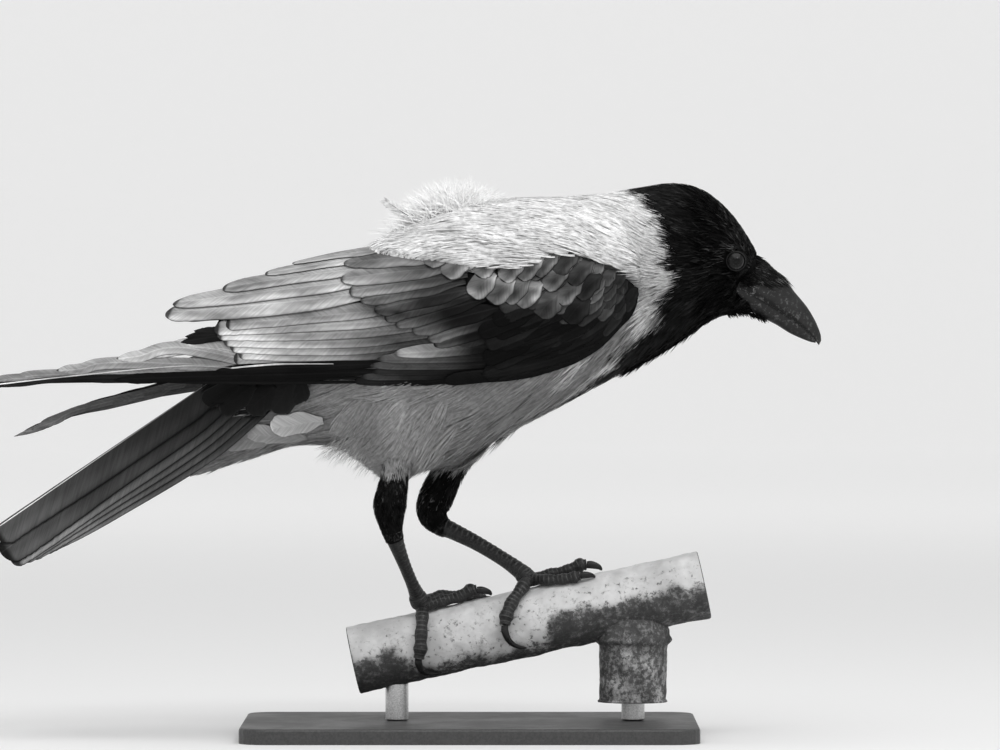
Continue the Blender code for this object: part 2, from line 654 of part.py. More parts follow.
def build_stand():
    """A flat base with rounded corners, and a short rod under each end of the rail."""
    length, width, height = BASE_SIZE
    shape = bmesh.new()
    bmesh.ops.create_cube(shape, size=1.0)
    bmesh.ops.scale(shape, vec=(length * MM, width * MM, height * MM), verts=shape.verts)
    upright = [e for e in shape.edges if abs(e.verts[0].co.z - e.verts[1].co.z) > height * MM / 2]
    bmesh.ops.bevel(shape, geom=upright, offset=BASE_CORNER * MM, segments=5, profile=0.5,
                    affect="EDGES")
    rim = [e for e in shape.edges if all(v.co.z > height * MM * 0.4 for v in e.verts)]
    bmesh.ops.bevel(shape, geom=rim, offset=1.2 * MM, segments=2, profile=0.5, affect="EDGES")
    base = add_object("stand_base", shape, finish_of("stand_board", CHARCOAL, 0.5),
                      (0, 0, height / 2 * MM))
    steel = finish_of("stand_steel", STEEL, 0.3, 1.0)
    bottom = height + GAP
    front = add_rod("stand_rod_front", (POST_X, 0, bottom), (POST_X, 0, POST_FOOT - GAP), ROD_RADIUS,
                    material=steel)
    rail_z = RAIL_POINT[1] + (REAR_ROD_X - RAIL_POINT[0]) * math.tan(RAIL_SLOPE)
    rear = add_rod("stand_rod_rear", (REAR_ROD_X, 0, bottom), (REAR_ROD_X, 0, rail_z - 5.0), ROD_RADIUS,
                   material=steel)
    direction = np.array([math.cos(RAIL_SLOPE), 0, math.sin(RAIL_SLOPE)])
    under = np.array([REAR_ROD_X, 0, rail_z])
    boolean(rear, add_rod("saddle", under - direction * 25, under + direction * 25, RAIL_RADIUS + GAP,
                          32))
    return [base, front, rear]


def build():
    for thing in list(bpy.data.objects):
        bpy.data.objects.remove(thing)
    trunk, neck, head = build_body()
    bird = [trunk, neck, head, build_tail(trunk)]
    bird += build_wings(trunk)
    bird += build_head_pieces(head)
    for name in ("right", "left"):
        bird += build_leg(name, trunk)
        bird += build_foot(name)
    gather("crow", bird)
    gather("display_stand", [build_perch(), *build_stand()])


build()
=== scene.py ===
"""A hooded crow on a cut length of painted handrail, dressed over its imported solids.

The bird faces +X, its right side is towards -Y and +Z is up. Sizes are in millimetres, and
Piece.finish turns them into metres. One skin carries the coat of feathers, each feather a few thin
strands laid along the body, and the wings and tail are built feather by feather.
"""

import logging
import math
from collections.abc import Callable
from dataclasses import dataclass, field
from enum import Enum

import bpy
import mathutils
import numpy as np
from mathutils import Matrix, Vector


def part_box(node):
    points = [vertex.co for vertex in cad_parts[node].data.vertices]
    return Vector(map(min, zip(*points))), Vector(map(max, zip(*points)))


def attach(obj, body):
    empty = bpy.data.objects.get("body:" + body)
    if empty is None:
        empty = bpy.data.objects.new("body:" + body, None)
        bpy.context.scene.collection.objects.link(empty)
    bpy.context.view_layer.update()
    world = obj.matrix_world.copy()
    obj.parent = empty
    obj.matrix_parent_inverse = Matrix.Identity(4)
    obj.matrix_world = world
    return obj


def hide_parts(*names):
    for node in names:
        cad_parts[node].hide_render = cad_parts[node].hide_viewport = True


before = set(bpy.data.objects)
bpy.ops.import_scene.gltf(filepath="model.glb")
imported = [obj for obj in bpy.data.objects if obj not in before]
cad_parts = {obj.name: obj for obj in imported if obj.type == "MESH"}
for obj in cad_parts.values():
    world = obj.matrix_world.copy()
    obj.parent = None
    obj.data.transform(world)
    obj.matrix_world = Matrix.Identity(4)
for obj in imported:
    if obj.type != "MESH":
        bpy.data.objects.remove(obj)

Array = np.ndarray
Socket = bpy.types.NodeSocket

MM = 0.001
BODY = "root"
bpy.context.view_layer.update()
PATCH = 0.003  # width of one feather's patch on the baking map
log = logging.getLogger("crow")


# ---- curves and noise ----------------------------------------------------------------------------

def through(keys: Array, t: Array) -> Array:
    """A smooth curve through the rows of keys, by Catmull and Rom's cubic.

    Args:
        keys: Rows of values.
        t: Places counted in rows.

    Returns:
        One row of values for each place.
    """
    keys = np.asarray(keys, float)
    padded = np.vstack([2 * keys[0] - keys[1], keys, 2 * keys[-1] - keys[-2]])
    t = np.clip(np.atleast_1d(np.asarray(t, float)), 0, len(keys) - 1)
    i = np.minimum(t.astype(int), len(keys) - 2)
    f = (t - i)[:, None]
    a, b, c, d = (padded[i + k] for k in range(4))
    return 0.5 * (2 * b + (c - a) * f + (2 * a - 5 * b + 4 * c - d) * f**2 + (3 * b - a - 3 * c + d) * f**3)


def ease(start: float, end: float, value: Array) -> Array:
    """0 at start and 1 at end, with a smooth S between: 3t^2 - 2t^3."""
    t = np.clip((np.asarray(value, float) - start) / (end - start), 0, 1)
    return t * t * (3 - 2 * t)


def hump(value: Array, middle: float, spread: float) -> Array:
    """A bell curve: 1 at middle, and e^-1 at spread on either side."""
    return np.exp(-(((value - middle) / spread) ** 2))


def unit(vectors: Array) -> Array:
    """The vectors made one long."""
    return vectors / np.maximum(np.linalg.norm(vectors, axis=-1, keepdims=True), 1e-9)


def read(table: tuple[tuple[float, ...], ...], value: Array) -> Array:
    """The second column of a table at places in its first, along straight lines between its rows."""
    return np.interp(value, *np.array(table).T)


def turns(count: int) -> Array:
    """The angles in radians of points spread evenly round a circle."""
    return np.arange(count) * 2 * np.pi / count


def pack(*parts: Array) -> Array:
    """Numbers side by side in a new last axis, each first repeated to the common shape."""
    return np.stack(np.broadcast_arrays(*parts), axis=-1)


def distance_along(points: Array) -> Array:
    """How far each point lies from the first, along the line through them."""
    return np.concatenate([[0.0], np.cumsum(np.linalg.norm(np.diff(points, axis=0), axis=1))])


def round_end(share: Array, span: float, least: float) -> Array:
    """1 along a limb, then a quarter circle over its last span, whose square stays over least."""
    return np.sqrt(np.clip(1 - np.clip((share - (1 - span)) / span, 0, 1) ** 2, least, 1))


def middle_of(node: str) -> Array:
    """The middle of a solid's box, in millimetres."""
    low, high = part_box(node)
    return (np.array(low) + np.array(high)) / 2 / MM


def ripple(points: Array, length: float, seed: int, waves: int = 12) -> Array:
    """Smooth noise of about -1 to 1: a sum of sines along seeded directions.

    Args:
        points: Places, with three numbers in the last axis.
        length: The typical wavelength in the same unit.
        seed: Which noise.
        waves: How many sines are summed.

    Returns:
        A value for each place.
    """
    rng = np.random.default_rng(seed)
    directions = unit(rng.normal(size=(waves, 3))) * rng.uniform(0.6, 1.6, (waves, 1))
    phases = rng.uniform(0, 2 * np.pi, waves)
    return np.sin(points @ directions.T * (2 * np.pi / length) + phases).sum(-1) / math.sqrt(waves)


# ---- pieces --------------------------------------------------------------------------------------

def add_object(name: str, data: bpy.types.ID) -> bpy.types.Object:
    """A new object in the scene, at the origin.

    Args:
        name: Its name.
        data: Its mesh, lamp or camera.

    Returns:
        The object.
    """
    thing = bpy.data.objects.new(name, data)
    bpy.context.scene.collection.objects.link(thing)
    return thing


def shell(rows: int, columns: int, closed: bool = True, caps: bool = True) -> list[Array]:
    """Faces of a grid of points, whose columns may close round into rings with a cap at each end.

    Args:
        rows: Rows in the grid.
        columns: Points in each row.
        closed: Whether the last column joins the first.
        caps: Whether a closed grid gets a face over its first and last ring.

    Returns:
        Arrays of faces, turned so that (column direction) x (row direction) points outwards.
    """
    j = np.arange(columns if closed else columns - 1)
    start = np.arange(rows - 1)[:, None] * columns
    after = (j + 1) % columns
    quads = pack(start + j, start + after, start + columns + after, start + columns + j)
    faces = [quads.reshape(-1, 4)]
    if closed and caps:
        faces.append(np.stack([np.arange(columns)[::-1], np.arange(columns) + (rows - 1) * columns]))
    return faces


@dataclass
class Piece:
    """The points, faces, values and baking map gathered for one object."""

    points: list[Array] = field(default_factory=list)
    faces: dict[int, list[Array]] = field(default_factory=dict)
    values: dict[str, list[Array]] = field(default_factory=dict)
    patches: list[Array] = field(default_factory=list)
    count: int = 0

    def add(self, points: Array, faces: list[Array], patch: Array | None = None,
            turn: bool = False, **values: Array) -> None:
        """Adds a surface.

        Args:
            points: Its points in millimetres.
            faces: Arrays of faces, numbered from this surface's own first point.
            patch: The place of each point on the baking map.
            turn: Whether the faces have to be turned over.
            values: Named numbers, one for each point or one for all.
        """
        flat = points.reshape(-1, 3)
        self.points.append(flat)
        for block in faces:
            block = block[:, ::-1] if turn else block
            self.faces.setdefault(block.shape[1], []).append(block + self.count)
        for name, value in values.items():
            full = np.broadcast_to(np.asarray(value, float), points.shape[:-1]).reshape(-1)
            self.values.setdefault(name, []).append(full)
        if patch is not None:
            self.patches.append(np.broadcast_to(patch, (*points.shape[:-1], 2)).reshape(-1, 2))
        self.count += len(flat)

    def mirror(self) -> "Piece":
        """The same piece for the bird's other side: y changes sign, and faces turn over.

        Returns:
            The new piece.
        """
        other = Piece(values=self.values, patches=self.patches, count=self.count)
        other.points = [points * (1, -1, 1) for points in self.points]
        other.faces = {size: [block[:, ::-1] for block in blocks] for size, blocks in self.faces.items()}
        return other

    def finish(self, name: str, material: bpy.types.Material, slot: str, *nodes: str,
            sharp: float | None = None) -> bpy.types.Object:
        """Makes the object, dresses it, sets it under the body's empty and hides the solids that it stands
        for.

        Args:
            name: The piece's name.
            material: Its finish.
            slot: The record's slot for that finish; not used.
            nodes: The solids that it stands for.
            sharp: Edges bent by more than these degrees stay crisp.

        Returns:
            The new object.
        """
        mesh = bpy.data.meshes.new(name)
        points = np.concatenate(self.points) * MM
        blocks = [np.concatenate(self.faces[size]) for size in sorted(self.faces)]
        corners = np.concatenate([block.reshape(-1) for block in blocks]).astype(np.int32)
        sizes = np.concatenate([np.full(len(block), block.shape[1]) for block in blocks])
        mesh.vertices.add(len(points))
        mesh.vertices.foreach_set("co", points.astype(np.float32).reshape(-1))
        mesh.loops.add(len(corners))
        mesh.loops.foreach_set("vertex_index", corners)
        mesh.polygons.add(len(sizes))
        mesh.polygons.foreach_set("loop_start", (np.cumsum(sizes) - sizes).astype(np.int32))
        mesh.update(calc_edges=True)
        for key, parts in self.values.items():
            attribute = mesh.attributes.new(key, "FLOAT", "POINT")
            attribute.data.foreach_set("value", np.concatenate(parts).astype(np.float32))
        if self.patches:
            patch = np.clip(np.concatenate(self.patches), 0.001, 0.999)[corners]
            mesh.uv_layers.new(name="OFBake").uv.foreach_set("vector", patch.astype(np.float32).reshape(-1))
        mesh.shade_smooth()
        if sharp is not None:
            mesh.set_sharp_from_angle(angle=math.radians(sharp))
        mesh.materials.append(material)
        thing = add_object(name, mesh)
        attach(thing, BODY)
        if nodes:
            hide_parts(*nodes)
        mesh.calc_loop_triangles()
        log.info("%s: %d triangles", name, len(mesh.loop_triangles))
        return thing


# ---- surfaces that feathers lie on ---------------------------------------------------------------

@dataclass
class Spot:
    """Places on a surface: points, outward normals, and how the points move with u and v."""

    point: Array
    normal: Array
    along: Array
    around: Array

    def widened(self, extra: int) -> "Spot":
        """The same places, with a number of new axes of length 1 after the first."""
        axes = tuple(range(1, 1 + extra))
        return Spot(*(np.expand_dims(getattr(self, key), axes) for key in self.__dataclass_fields__))


@dataclass
class Surface:
    """A surface read from a fine grid: u runs 0 to 1 over the rows, v 0 to 1 over the columns."""

    points: Array
    closed: bool = True
    table: Array = field(init=False)

    def __post_init__(self) -> None:
        """Works out the slopes and the normals: (column direction) x (row direction)."""
        rows, columns = self.points.shape[:2]
        along = np.gradient(self.points, axis=0) * (rows - 1)
        if self.closed:
            around = (np.roll(self.points, -1, 1) - np.roll(self.points, 1, 1)) / 2 * columns
        else:
            around = np.gradient(self.points, axis=1) * (columns - 1)
        normal = unit(np.cross(around, along))
        self.table = np.concatenate([self.points, normal, along, around], axis=2)

    def at(self, u: Array, v: Array) -> Spot:
        """The places at u and v, by straight-line mixing of the grid's four nearest points.

        Args:
            u: Places along the rows.
            v: Places along the columns.

        Returns:
            The surface there.
        """
        rows, columns = self.table.shape[:2]
        r = np.clip(u, 0, 1) * (rows - 1)
        i = np.minimum(r.astype(int), rows - 2)
        down = (r - i)[..., None]
        if self.closed:
            c = (v % 1.0) * columns
            j = c.astype(int) % columns
            k = (j + 1) % columns
            over = (c - np.floor(c))[..., None]
        else:
            c = np.clip(v, 0, 1) * (columns - 1)
            j = np.minimum(c.astype(int), columns - 2)
            k = j + 1
            over = (c - j)[..., None]
        near = self.table[i, j] * (1 - over) + self.table[i, k] * over
        far = self.table[i + 1, j] * (1 - over) + self.table[i + 1, k] * over
        mixed = near * (1 - down) + far * down
        return Spot(mixed[..., :3], unit(mixed[..., 3:6]), mixed[..., 6:9], mixed[..., 9:])

    def moved(self, u: Array, v: Array, spot: Spot, move: Array) -> tuple[Array, Array]:
        """Where u and v come to after a step along the surface.

        Args:
            u: Starting places along the rows.
            v: Starting places along the columns.
            spot: The surface there.
            move: The steps, as vectors in millimetres.

        Returns:
            The new u and v, from the two slopes by solving two equations.
        """
        a = (spot.along**2).sum(-1)
        b = (spot.along * spot.around).sum(-1)
        c = (spot.around**2).sum(-1)
        p = (move * spot.along).sum(-1)
        q = (move * spot.around).sum(-1)
        span = np.maximum(a * c - b * b, 1e-6)
        return u + (p * c - q * b) / span, v + np.clip((q * a - p * b) / span, -0.24, 0.24)


def tube(points: Array, radii: Array, facing: Array, sides: int) -> tuple[Array, Array]:
    """Round sections square to a line of points.

    Args:
        points: The line, one point a row.
        radii: A radius for each point, or for each point and side.
        facing: The direction in which each section starts, one or one a row.
        sides: Points in a section.

    Returns:
        The rings of points, and the angle of each side in radians.
    """
    heading = unit(np.gradient(points, axis=0))
    first = np.broadcast_to(facing, points.shape)
    first = unit(first - heading * (first * heading).sum(-1, keepdims=True))
    second = np.cross(heading, first)
    angle = turns(sides)
    radii = np.broadcast_to(np.asarray(radii, float).reshape(len(points), -1), (len(points), sides))
    spokes = (np.cos(angle)[None, :, None] * first[:, None] + np.sin(angle)[None, :, None] * second[:, None])
    return points[:, None] + radii[..., None] * spokes, angle


# ---- finishes ------------------------------------------------------------------------------------

@dataclass
class Wiring:
    """A node tree with short ways to add nodes and join them."""

    tree: bpy.types.NodeTree

    def node(self, kind: str, inputs: dict[str | int, object] | None = None,
            **settings: object) -> bpy.types.Node:
        """Adds a node.

        Args:
            kind: The node's type, without its first words.
            inputs: Sockets or plain values for its inputs, by name or number.
            settings: Its other settings.

        Returns:
            The node.
        """
        made = self.tree.nodes.new("ShaderNode" + kind)
        for key, value in settings.items():
            setattr(made, key, value)
        for key, value in (inputs or {}).items():
            self.feed(made.inputs[key], value)
        return made

    def feed(self, socket: Socket, value: object) -> None:
        """Joins a socket to an input, or sets the input's plain value.

        Args:
            socket: The input.
            value: A socket or a plain value.
        """
        if isinstance(value, Socket):
            self.tree.links.new(value, socket)
        else:
            socket.default_value = value

    def math(self, operation: str, a: object, b: object = 0.0, clamp: bool = False) -> Socket:
        """One of the Math node's operations on two numbers."""
        return self.node("Math", {0: a, 1: b}, operation=operation, use_clamp=clamp).outputs[0]

    def times(self, a: object, b: object) -> Socket:
        """The product of two numbers."""
        return self.math("MULTIPLY", a, b)

    def plus(self, a: object, b: object) -> Socket:
        """The sum of two numbers."""
        return self.math("ADD", a, b)

    def span(self, value: Socket, low: float, high: float, to_low: object = 0.0,
            to_high: object = 1.0) -> Socket:
        """The value carried from one range to another, with smooth ends."""
        return self.node("MapRange", {"Value": value, "From Min": low, "From Max": high, "To Min": to_low,
            "To Max": to_high}, interpolation_type="SMOOTHSTEP").outputs[0]

    def mix(self, share: object, a: object, b: object) -> Socket:
        """A number between a and b."""
        return self.node("Mix", {0: share, 2: a, 3: b}, data_type="FLOAT").outputs[0]

    def value_of(self, attribute: str) -> Socket:
        """A piece's own named number."""
        return self.node("Attribute", attribute_name=attribute).outputs["Fac"]

    def noise(self, scale: float, detail: float = 3.0, rough: float = 0.55,
            vector: Socket | None = None) -> Socket:
        """Cloudy noise on the piece's own coordinates, at a scale in waves a metre.

        Args:
            scale: Waves in a metre.
            detail: How many finer layers it has.
            rough: How strong they are.
            vector: Coordinates to use instead.

        Returns:
            The noise, about 0 to 1.
        """
        vector = vector or self.node("TexCoord").outputs["Object"]
        return self.node("TexNoise", {"Vector": vector, "Scale": scale, "Detail": detail,
            "Roughness": rough}).outputs[0]

    def bump(self, height: Socket, depth_mm: float, strength: float = 1.0) -> Socket:
        """A normal from a height of 0 to 1 that stands for a depth."""
        return self.node("Bump", {"Height": height, "Distance": depth_mm * MM,
            "Strength": strength}).outputs[0]

    def grey(self, value: Socket) -> Socket:
        """A neutral colour of that lightness."""
        return self.node("CombineColor", {0: value, 1: value, 2: value}).outputs[0]

    def dress(self, shader: bpy.types.Node, tone: Socket, rough: Socket,
            relief: Socket | None = None) -> None:
        """Feeds a shader.

        Args:
            shader: The material's shader.
            tone: Its lightness.
            rough: Its roughness.
            relief: Its normal.
        """
        self.feed(shader.inputs["Base Color"], self.grey(tone))
        self.feed(shader.inputs["Roughness"], rough)
        if relief is not None:
            self.feed(shader.inputs["Normal"], relief)


def group(name: str, inputs: dict[str, float], outputs: tuple[str, ...],
        wire: Callable[[Wiring, bpy.types.Node, bpy.types.Node], None]) -> bpy.types.NodeTree:
    """A shader node group, made once.

    Args:
        name: Its name.
        inputs: Its number inputs and their first values.
        outputs: Its number outputs.
        wire: Adds the nodes between the group's two ends.

    Returns:
        The group.
    """
    tree = bpy.data.node_groups.get(name)
    if tree is None:
        tree = bpy.data.node_groups.new(name, "ShaderNodeTree")
        for key, value in inputs.items():
            tree.interface.new_socket(key, in_out="INPUT",
                socket_type="NodeSocketFloat").default_value = value
        for key in outputs:
            tree.interface.new_socket(key, in_out="OUTPUT", socket_type="NodeSocketFloat")
        wire(Wiring(tree), tree.nodes.new("NodeGroupInput"), tree.nodes.new("NodeGroupOutput"))
    return tree


def wire_barbs(w: Wiring, start: bpy.types.Node, end: bpy.types.Node) -> None:
    """Barbs that leave the shaft at a slant: noise drawn out along them, and a pale raised shaft.

    Args:
        w: The wiring.
        start: The group's input node.
        end: The group's output node.
    """
    run, side = w.value_of("run"), w.value_of("side")
    out = w.math("ABSOLUTE", side)
    along_barb = w.times(out, start.outputs["Slant"])
    place = w.math("SUBTRACT", run, along_barb)
    seed = w.times(w.value_of("feather"), 37.0)
    half = w.plus(seed, w.times(w.math("SIGN", side), 5.0))
    wide = w.node("CombineXYZ", {0: w.times(place, 0.55), 1: w.times(out, 0.06), 2: half})
    fine = w.node("CombineXYZ", {0: w.times(place, 2.4), 1: w.times(out, 0.10), 2: half})
    broad = w.noise(1.0, 2.0, vector=wide.outputs[0])
    thin = w.noise(1.0, 2.0, vector=fine.outputs[0])
    streaks = w.plus(w.times(broad, 0.55), w.times(thin, 0.45))
    shaft = w.span(out, 0.55, 0.15)
    w.feed(end.inputs["Streaks"], streaks)
    w.feed(end.inputs["Shaft"], shaft)
    w.feed(end.inputs["Height"], w.plus(w.times(thin, 0.8), w.times(shaft, 0.4)))


def wire_mottle(w: Wiring, start: bpy.types.Node, end: bpy.types.Node) -> None:
    """Blotches with crisp edges, broken up by finer specks.

    Args:
        w: The wiring.
        start: The group's input node.
        end: The group's output node.
    """
    vector = w.node("VectorMath", {0: w.node("TexCoord").outputs["Object"], 3: start.outputs["Scale"]},
        operation="SCALE").outputs[0]
    cloud = w.noise(1.0, 5.0, 0.62, vector)
    speck = w.noise(5.3, 3.0, 0.6, vector)
    both = w.plus(w.times(cloud, 0.72), w.times(speck, 0.28))
    over = w.math("SUBTRACT", both, w.math("SUBTRACT", 1.0, start.outputs["Amount"]))
    w.feed(end.inputs["Mask"], w.math("MULTIPLY", over, start.outputs["Edge"], clamp=True))
    w.feed(end.inputs["Cloud"], both)


def barbs() -> bpy.types.NodeTree:
    """The barbs of a flight feather."""
    return group("barbs", {"Slant": 1.1}, ("Streaks", "Shaft", "Height"), wire_barbs)


def mottle() -> bpy.types.NodeTree:
    """Blotches and specks. Amount is the share that they cover, and Edge how crisp they are."""
    return group("mottle", {"Scale": 60.0, "Amount": 0.5, "Edge": 8.0}, ("Mask", "Cloud"), wire_mottle)


@dataclass(frozen=True)
class Finish:
    """A surface finish. Each kind wires its own colours, roughness and relief."""

    name: str
    roughness: float = 0.5
    metallic: float = 0.0
    specular: float = 0.5

    def material(self) -> bpy.types.Material:
        """The finish as a material, made once.

        Returns:
            The material.
        """
        made = bpy.data.materials.get(self.name)
        if made is None:
            made = bpy.data.materials.new(self.name)
            made.use_nodes = True
            w = Wiring(made.node_tree)
            shader = made.node_tree.nodes["Principled BSDF"]
            shader.inputs["Roughness"].default_value = self.roughness
            shader.inputs["Metallic"].default_value = self.metallic
            shader.inputs["Specular IOR Level"].default_value = self.specular
            self.wire(w, shader)
        return made

    def wire(self, w: Wiring, shader: bpy.types.Node) -> None:
        """Feeds the shader."""
        raise NotImplementedError

    def mottled(self, w: Wiring, scale: float, amount: object, edge: float) -> bpy.types.Node:
        """The mottle group with its values set.

        Args:
            w: The wiring.
            scale: Blotches in a metre.
            amount: The share that they cover.
            edge: How crisp they are.

        Returns:
            The group's node.
        """
        made = w.node("Group", node_tree=mottle())
        for key, value in (("Scale", scale), ("Amount", amount), ("Edge", edge)):
            w.feed(made.inputs[key], value)
        return made


@dataclass(frozen=True)
class Plumage(Finish):
    """Body feathers: pale ones are soft and matt, black ones have a faint gloss."""

    gloss: float = 0.5

    def wire(self, w: Wiring, shader: bpy.types.Node) -> None:
        """Lightness from the feathers' own values, varied a little.

        Args:
            w: The wiring.
            shader: The material's shader.
        """
        tone = w.value_of("plume")
        cloud = w.noise(420.0, 2.0)
        w.dress(shader, w.times(tone, w.span(cloud, 0.3, 0.7, 0.86, 1.14)),
            w.span(tone, 0.02, 0.2, self.gloss, 0.92), w.bump(w.noise(1900.0, 1.0), 0.12, 0.2))


@dataclass(frozen=True)
class FlightFeather(Finish):
    """Wing and tail feathers: glossy vanes with slanting barbs and a shaft."""

    contrast: float = 0.22
    shaft_gain: float = 1.6

    def wire(self, w: Wiring, shader: bpy.types.Node) -> None:
        """Lightness from the feathers' own values, with the barbs' streaks and the shaft.

        Args:
            w: The wiring.
            shader: The material's shader.
        """
        lines = w.node("Group", node_tree=barbs())
        low, high = 1.0 - self.contrast, 1.0 + self.contrast
        tone = w.times(w.value_of("plume"), w.span(lines.outputs["Streaks"], 0.3, 0.7, low, high))
        pale = w.plus(w.times(tone, self.shaft_gain), 0.012)
        tone = w.mix(w.times(lines.outputs["Shaft"], w.value_of("rachis")), tone, pale)
        rough = w.span(lines.outputs["Streaks"], 0.3, 0.7, self.roughness - 0.08, self.roughness + 0.12)
        w.dress(shader, tone, rough, w.bump(lines.outputs["Height"], 0.10, 0.6))


@dataclass(frozen=True)
class Horn(Finish):
    """Bill and claws: dark horn with fine scuffs and worn pale flecks."""

    dark: float = 0.018
    pale: float = 0.10
    flecks: float = 0.46

    def wire(self, w: Wiring, shader: bpy.types.Node) -> None:
        """Two greys, parted by cloudy wear, with flecks and hair-fine scratches.

        Args:
            w: The wiring.
            shader: The material's shader.
        """
        wear = self.mottled(w, 130.0, 0.52, 2.2)
        fleck = self.mottled(w, 520.0, self.flecks, 14.0)
        place = w.node("Mapping", {"Vector": w.node("TexCoord").outputs["Object"],
            "Rotation": (0.0, math.radians(-33.0), 0.0), "Scale": (140.0, 900.0, 1500.0)})
        lines = w.noise(1.0, 2.0, vector=place.outputs[0])
        tone = w.mix(wear.outputs["Mask"], self.dark, self.dark * 2.2)
        # painted shade along the mouth line darkens the horn there
        tone = w.times(tone, w.span(w.value_of("crease"), 0.0, 0.8, 1.0, 0.15))
        tone = w.mix(w.times(fleck.outputs["Mask"], w.value_of("worn")), tone, self.pale)
        rough = w.span(wear.outputs["Cloud"], 0.35, 0.65, self.roughness - 0.1, self.roughness + 0.18)
        height = w.plus(w.times(lines, 0.5), w.times(fleck.outputs["Cloud"], 0.6))
        w.dress(shader, tone, rough, w.bump(height, 0.10, 0.55))


@dataclass(frozen=True)
class ScaledSkin(Finish):
    """Legs and toes: dark scales with paler worn rims and grey dust between them."""

    dark: float = 0.020
    rim: float = 0.11

    def wire(self, w: Wiring, shader: bpy.types.Node) -> None:
        """Small cells over the back and soles, the scutes' own rims, and dust.

        Args:
            w: The wiring.
            shader: The material's shader.
        """
        cells = w.node("TexVoronoi", {"Vector": w.node("TexCoord").outputs["Object"], "Scale": 620.0},
            feature="DISTANCE_TO_EDGE").outputs[0]
        small = w.span(cells, 0.02, 0.12)
        dust = self.mottled(w, 260.0, 0.50, 3.0)
        tone = w.mix(w.value_of("rim"), self.dark, self.rim)
        tone = w.mix(w.times(dust.outputs["Mask"], 0.5), tone, self.rim)
        w.dress(shader, tone, w.span(dust.outputs["Cloud"], 0.35, 0.65, 0.3, 0.62),
            w.bump(w.plus(small, dust.outputs["Cloud"]), 0.30, 0.7))


@dataclass(frozen=True)
class EyeGlass(Finish):
    """A dark eye: black pupil, dull brown-grey iris and a clear wet front."""

    def wire(self, w: Wiring, shader: bpy.types.Node) -> None:
        """Lightness by the distance from the eye's axis, held in the piece's own values.

        Args:
            w: The wiring.
            shader: The material's shader.
        """
        rays = w.noise(1400.0, 2.0)
        # the piece's own values hold a painted reflection as well: a pale crescent round the lower front
        iris = w.times(w.value_of("iris"), w.span(rays, 0.3, 0.7, 0.7, 1.3))
        w.dress(shader, w.mix(iris, 0.003, 0.045), w.span(rays, 0.2, 0.8, 0.16, 0.3))
        shader.inputs["Coat Weight"].default_value = 0.14
        shader.inputs["Coat Roughness"].default_value = 0.04


@dataclass(frozen=True)
class OldPaint(Finish):
    """Pale paint, chipped and pitted with dark rust, most of all underneath, where painted shade also darkens
    it.
    """

    pale: float = 0.72
    dark: float = 0.035

    def wire(self, w: Wiring, shader: bpy.types.Node) -> None:
        """Paint over dark metal: the dark share grows with the piece's own value called under.

        Args:
            w: The wiring.
            shader: The material's shader.
        """
        under = w.value_of("under")
        chips = self.mottled(w, 130.0, w.span(under, 0.0, 1.0, 0.36, 0.62), 5.0)
        pits = self.mottled(w, 420.0, w.span(under, 0.0, 1.0, 0.39, 0.58), 12.0)
        stain = w.noise(38.0, 4.0, 0.6)
        paint = w.mix(w.span(stain, 0.3, 0.72), self.pale, self.pale * 0.62)
        # painted shade: the paint itself is darker where the value is high
        paint = w.times(paint, w.span(under, 0.2, 1.0, 1.0, 0.34))
        rust = w.mix(w.noise(260.0, 3.0), self.dark * 0.5, self.dark * 2.4)
        tone = w.mix(chips.outputs["Mask"], paint, rust)
        tone = w.mix(w.times(pits.outputs["Mask"], 0.85), tone, self.dark)
        lost = w.plus(w.times(chips.outputs["Mask"], 0.6), w.times(pits.outputs["Mask"], 0.4))
        height = w.math("SUBTRACT", w.times(w.noise(300.0, 4.0), 0.8), lost)
        w.dress(shader, tone, w.mix(chips.outputs["Mask"], self.roughness, 0.88), w.bump(height, 0.45, 0.8))


@dataclass(frozen=True)
class StandFinish(Finish):
    """The display stand: an even tone with a fine grain and a little handling wear."""

    tone: float = 0.05
    grain: float = 900.0

    def wire(self, w: Wiring, shader: bpy.types.Node) -> None:
        """Fine grain, with softer patches where it has been handled.

        Args:
            w: The wiring.
            shader: The material's shader.
        """
        fine = w.noise(self.grain, 2.0)
        patch = self.mottled(w, 22.0, 0.5, 2.0)
        rough = w.span(patch.outputs["Cloud"], 0.35, 0.65, self.roughness - 0.05, self.roughness + 0.08)
        w.dress(shader, w.times(w.span(fine, 0.3, 0.7, 0.8, 1.2), self.tone), rough, w.bump(fine, 0.04, 0.4))


@dataclass(frozen=True)
class Sweep(Finish):
    """The plain pale floor and its wall."""

    tone: float = 0.70
    glow: float = 0.34

    def wire(self, w: Wiring, shader: bpy.types.Node) -> None:
        """One pale tone, which glows a little far out, where the lamp's light doesn't reach.

        Args:
            w: The wiring.
            shader: The material's shader.
        """
        shader.inputs["Base Color"].default_value = (self.tone, self.tone, self.tone, 1.0)
        away = w.node("VectorMath", {0: w.node("TexCoord").outputs["Object"]}, operation="LENGTH")
        glow = w.span(away.outputs["Value"], 0.25, 4.2, 0.0, self.glow)
        w.feed(shader.inputs["Emission Color"], w.grey(glow))
        shader.inputs["Emission Strength"].default_value = 1.0


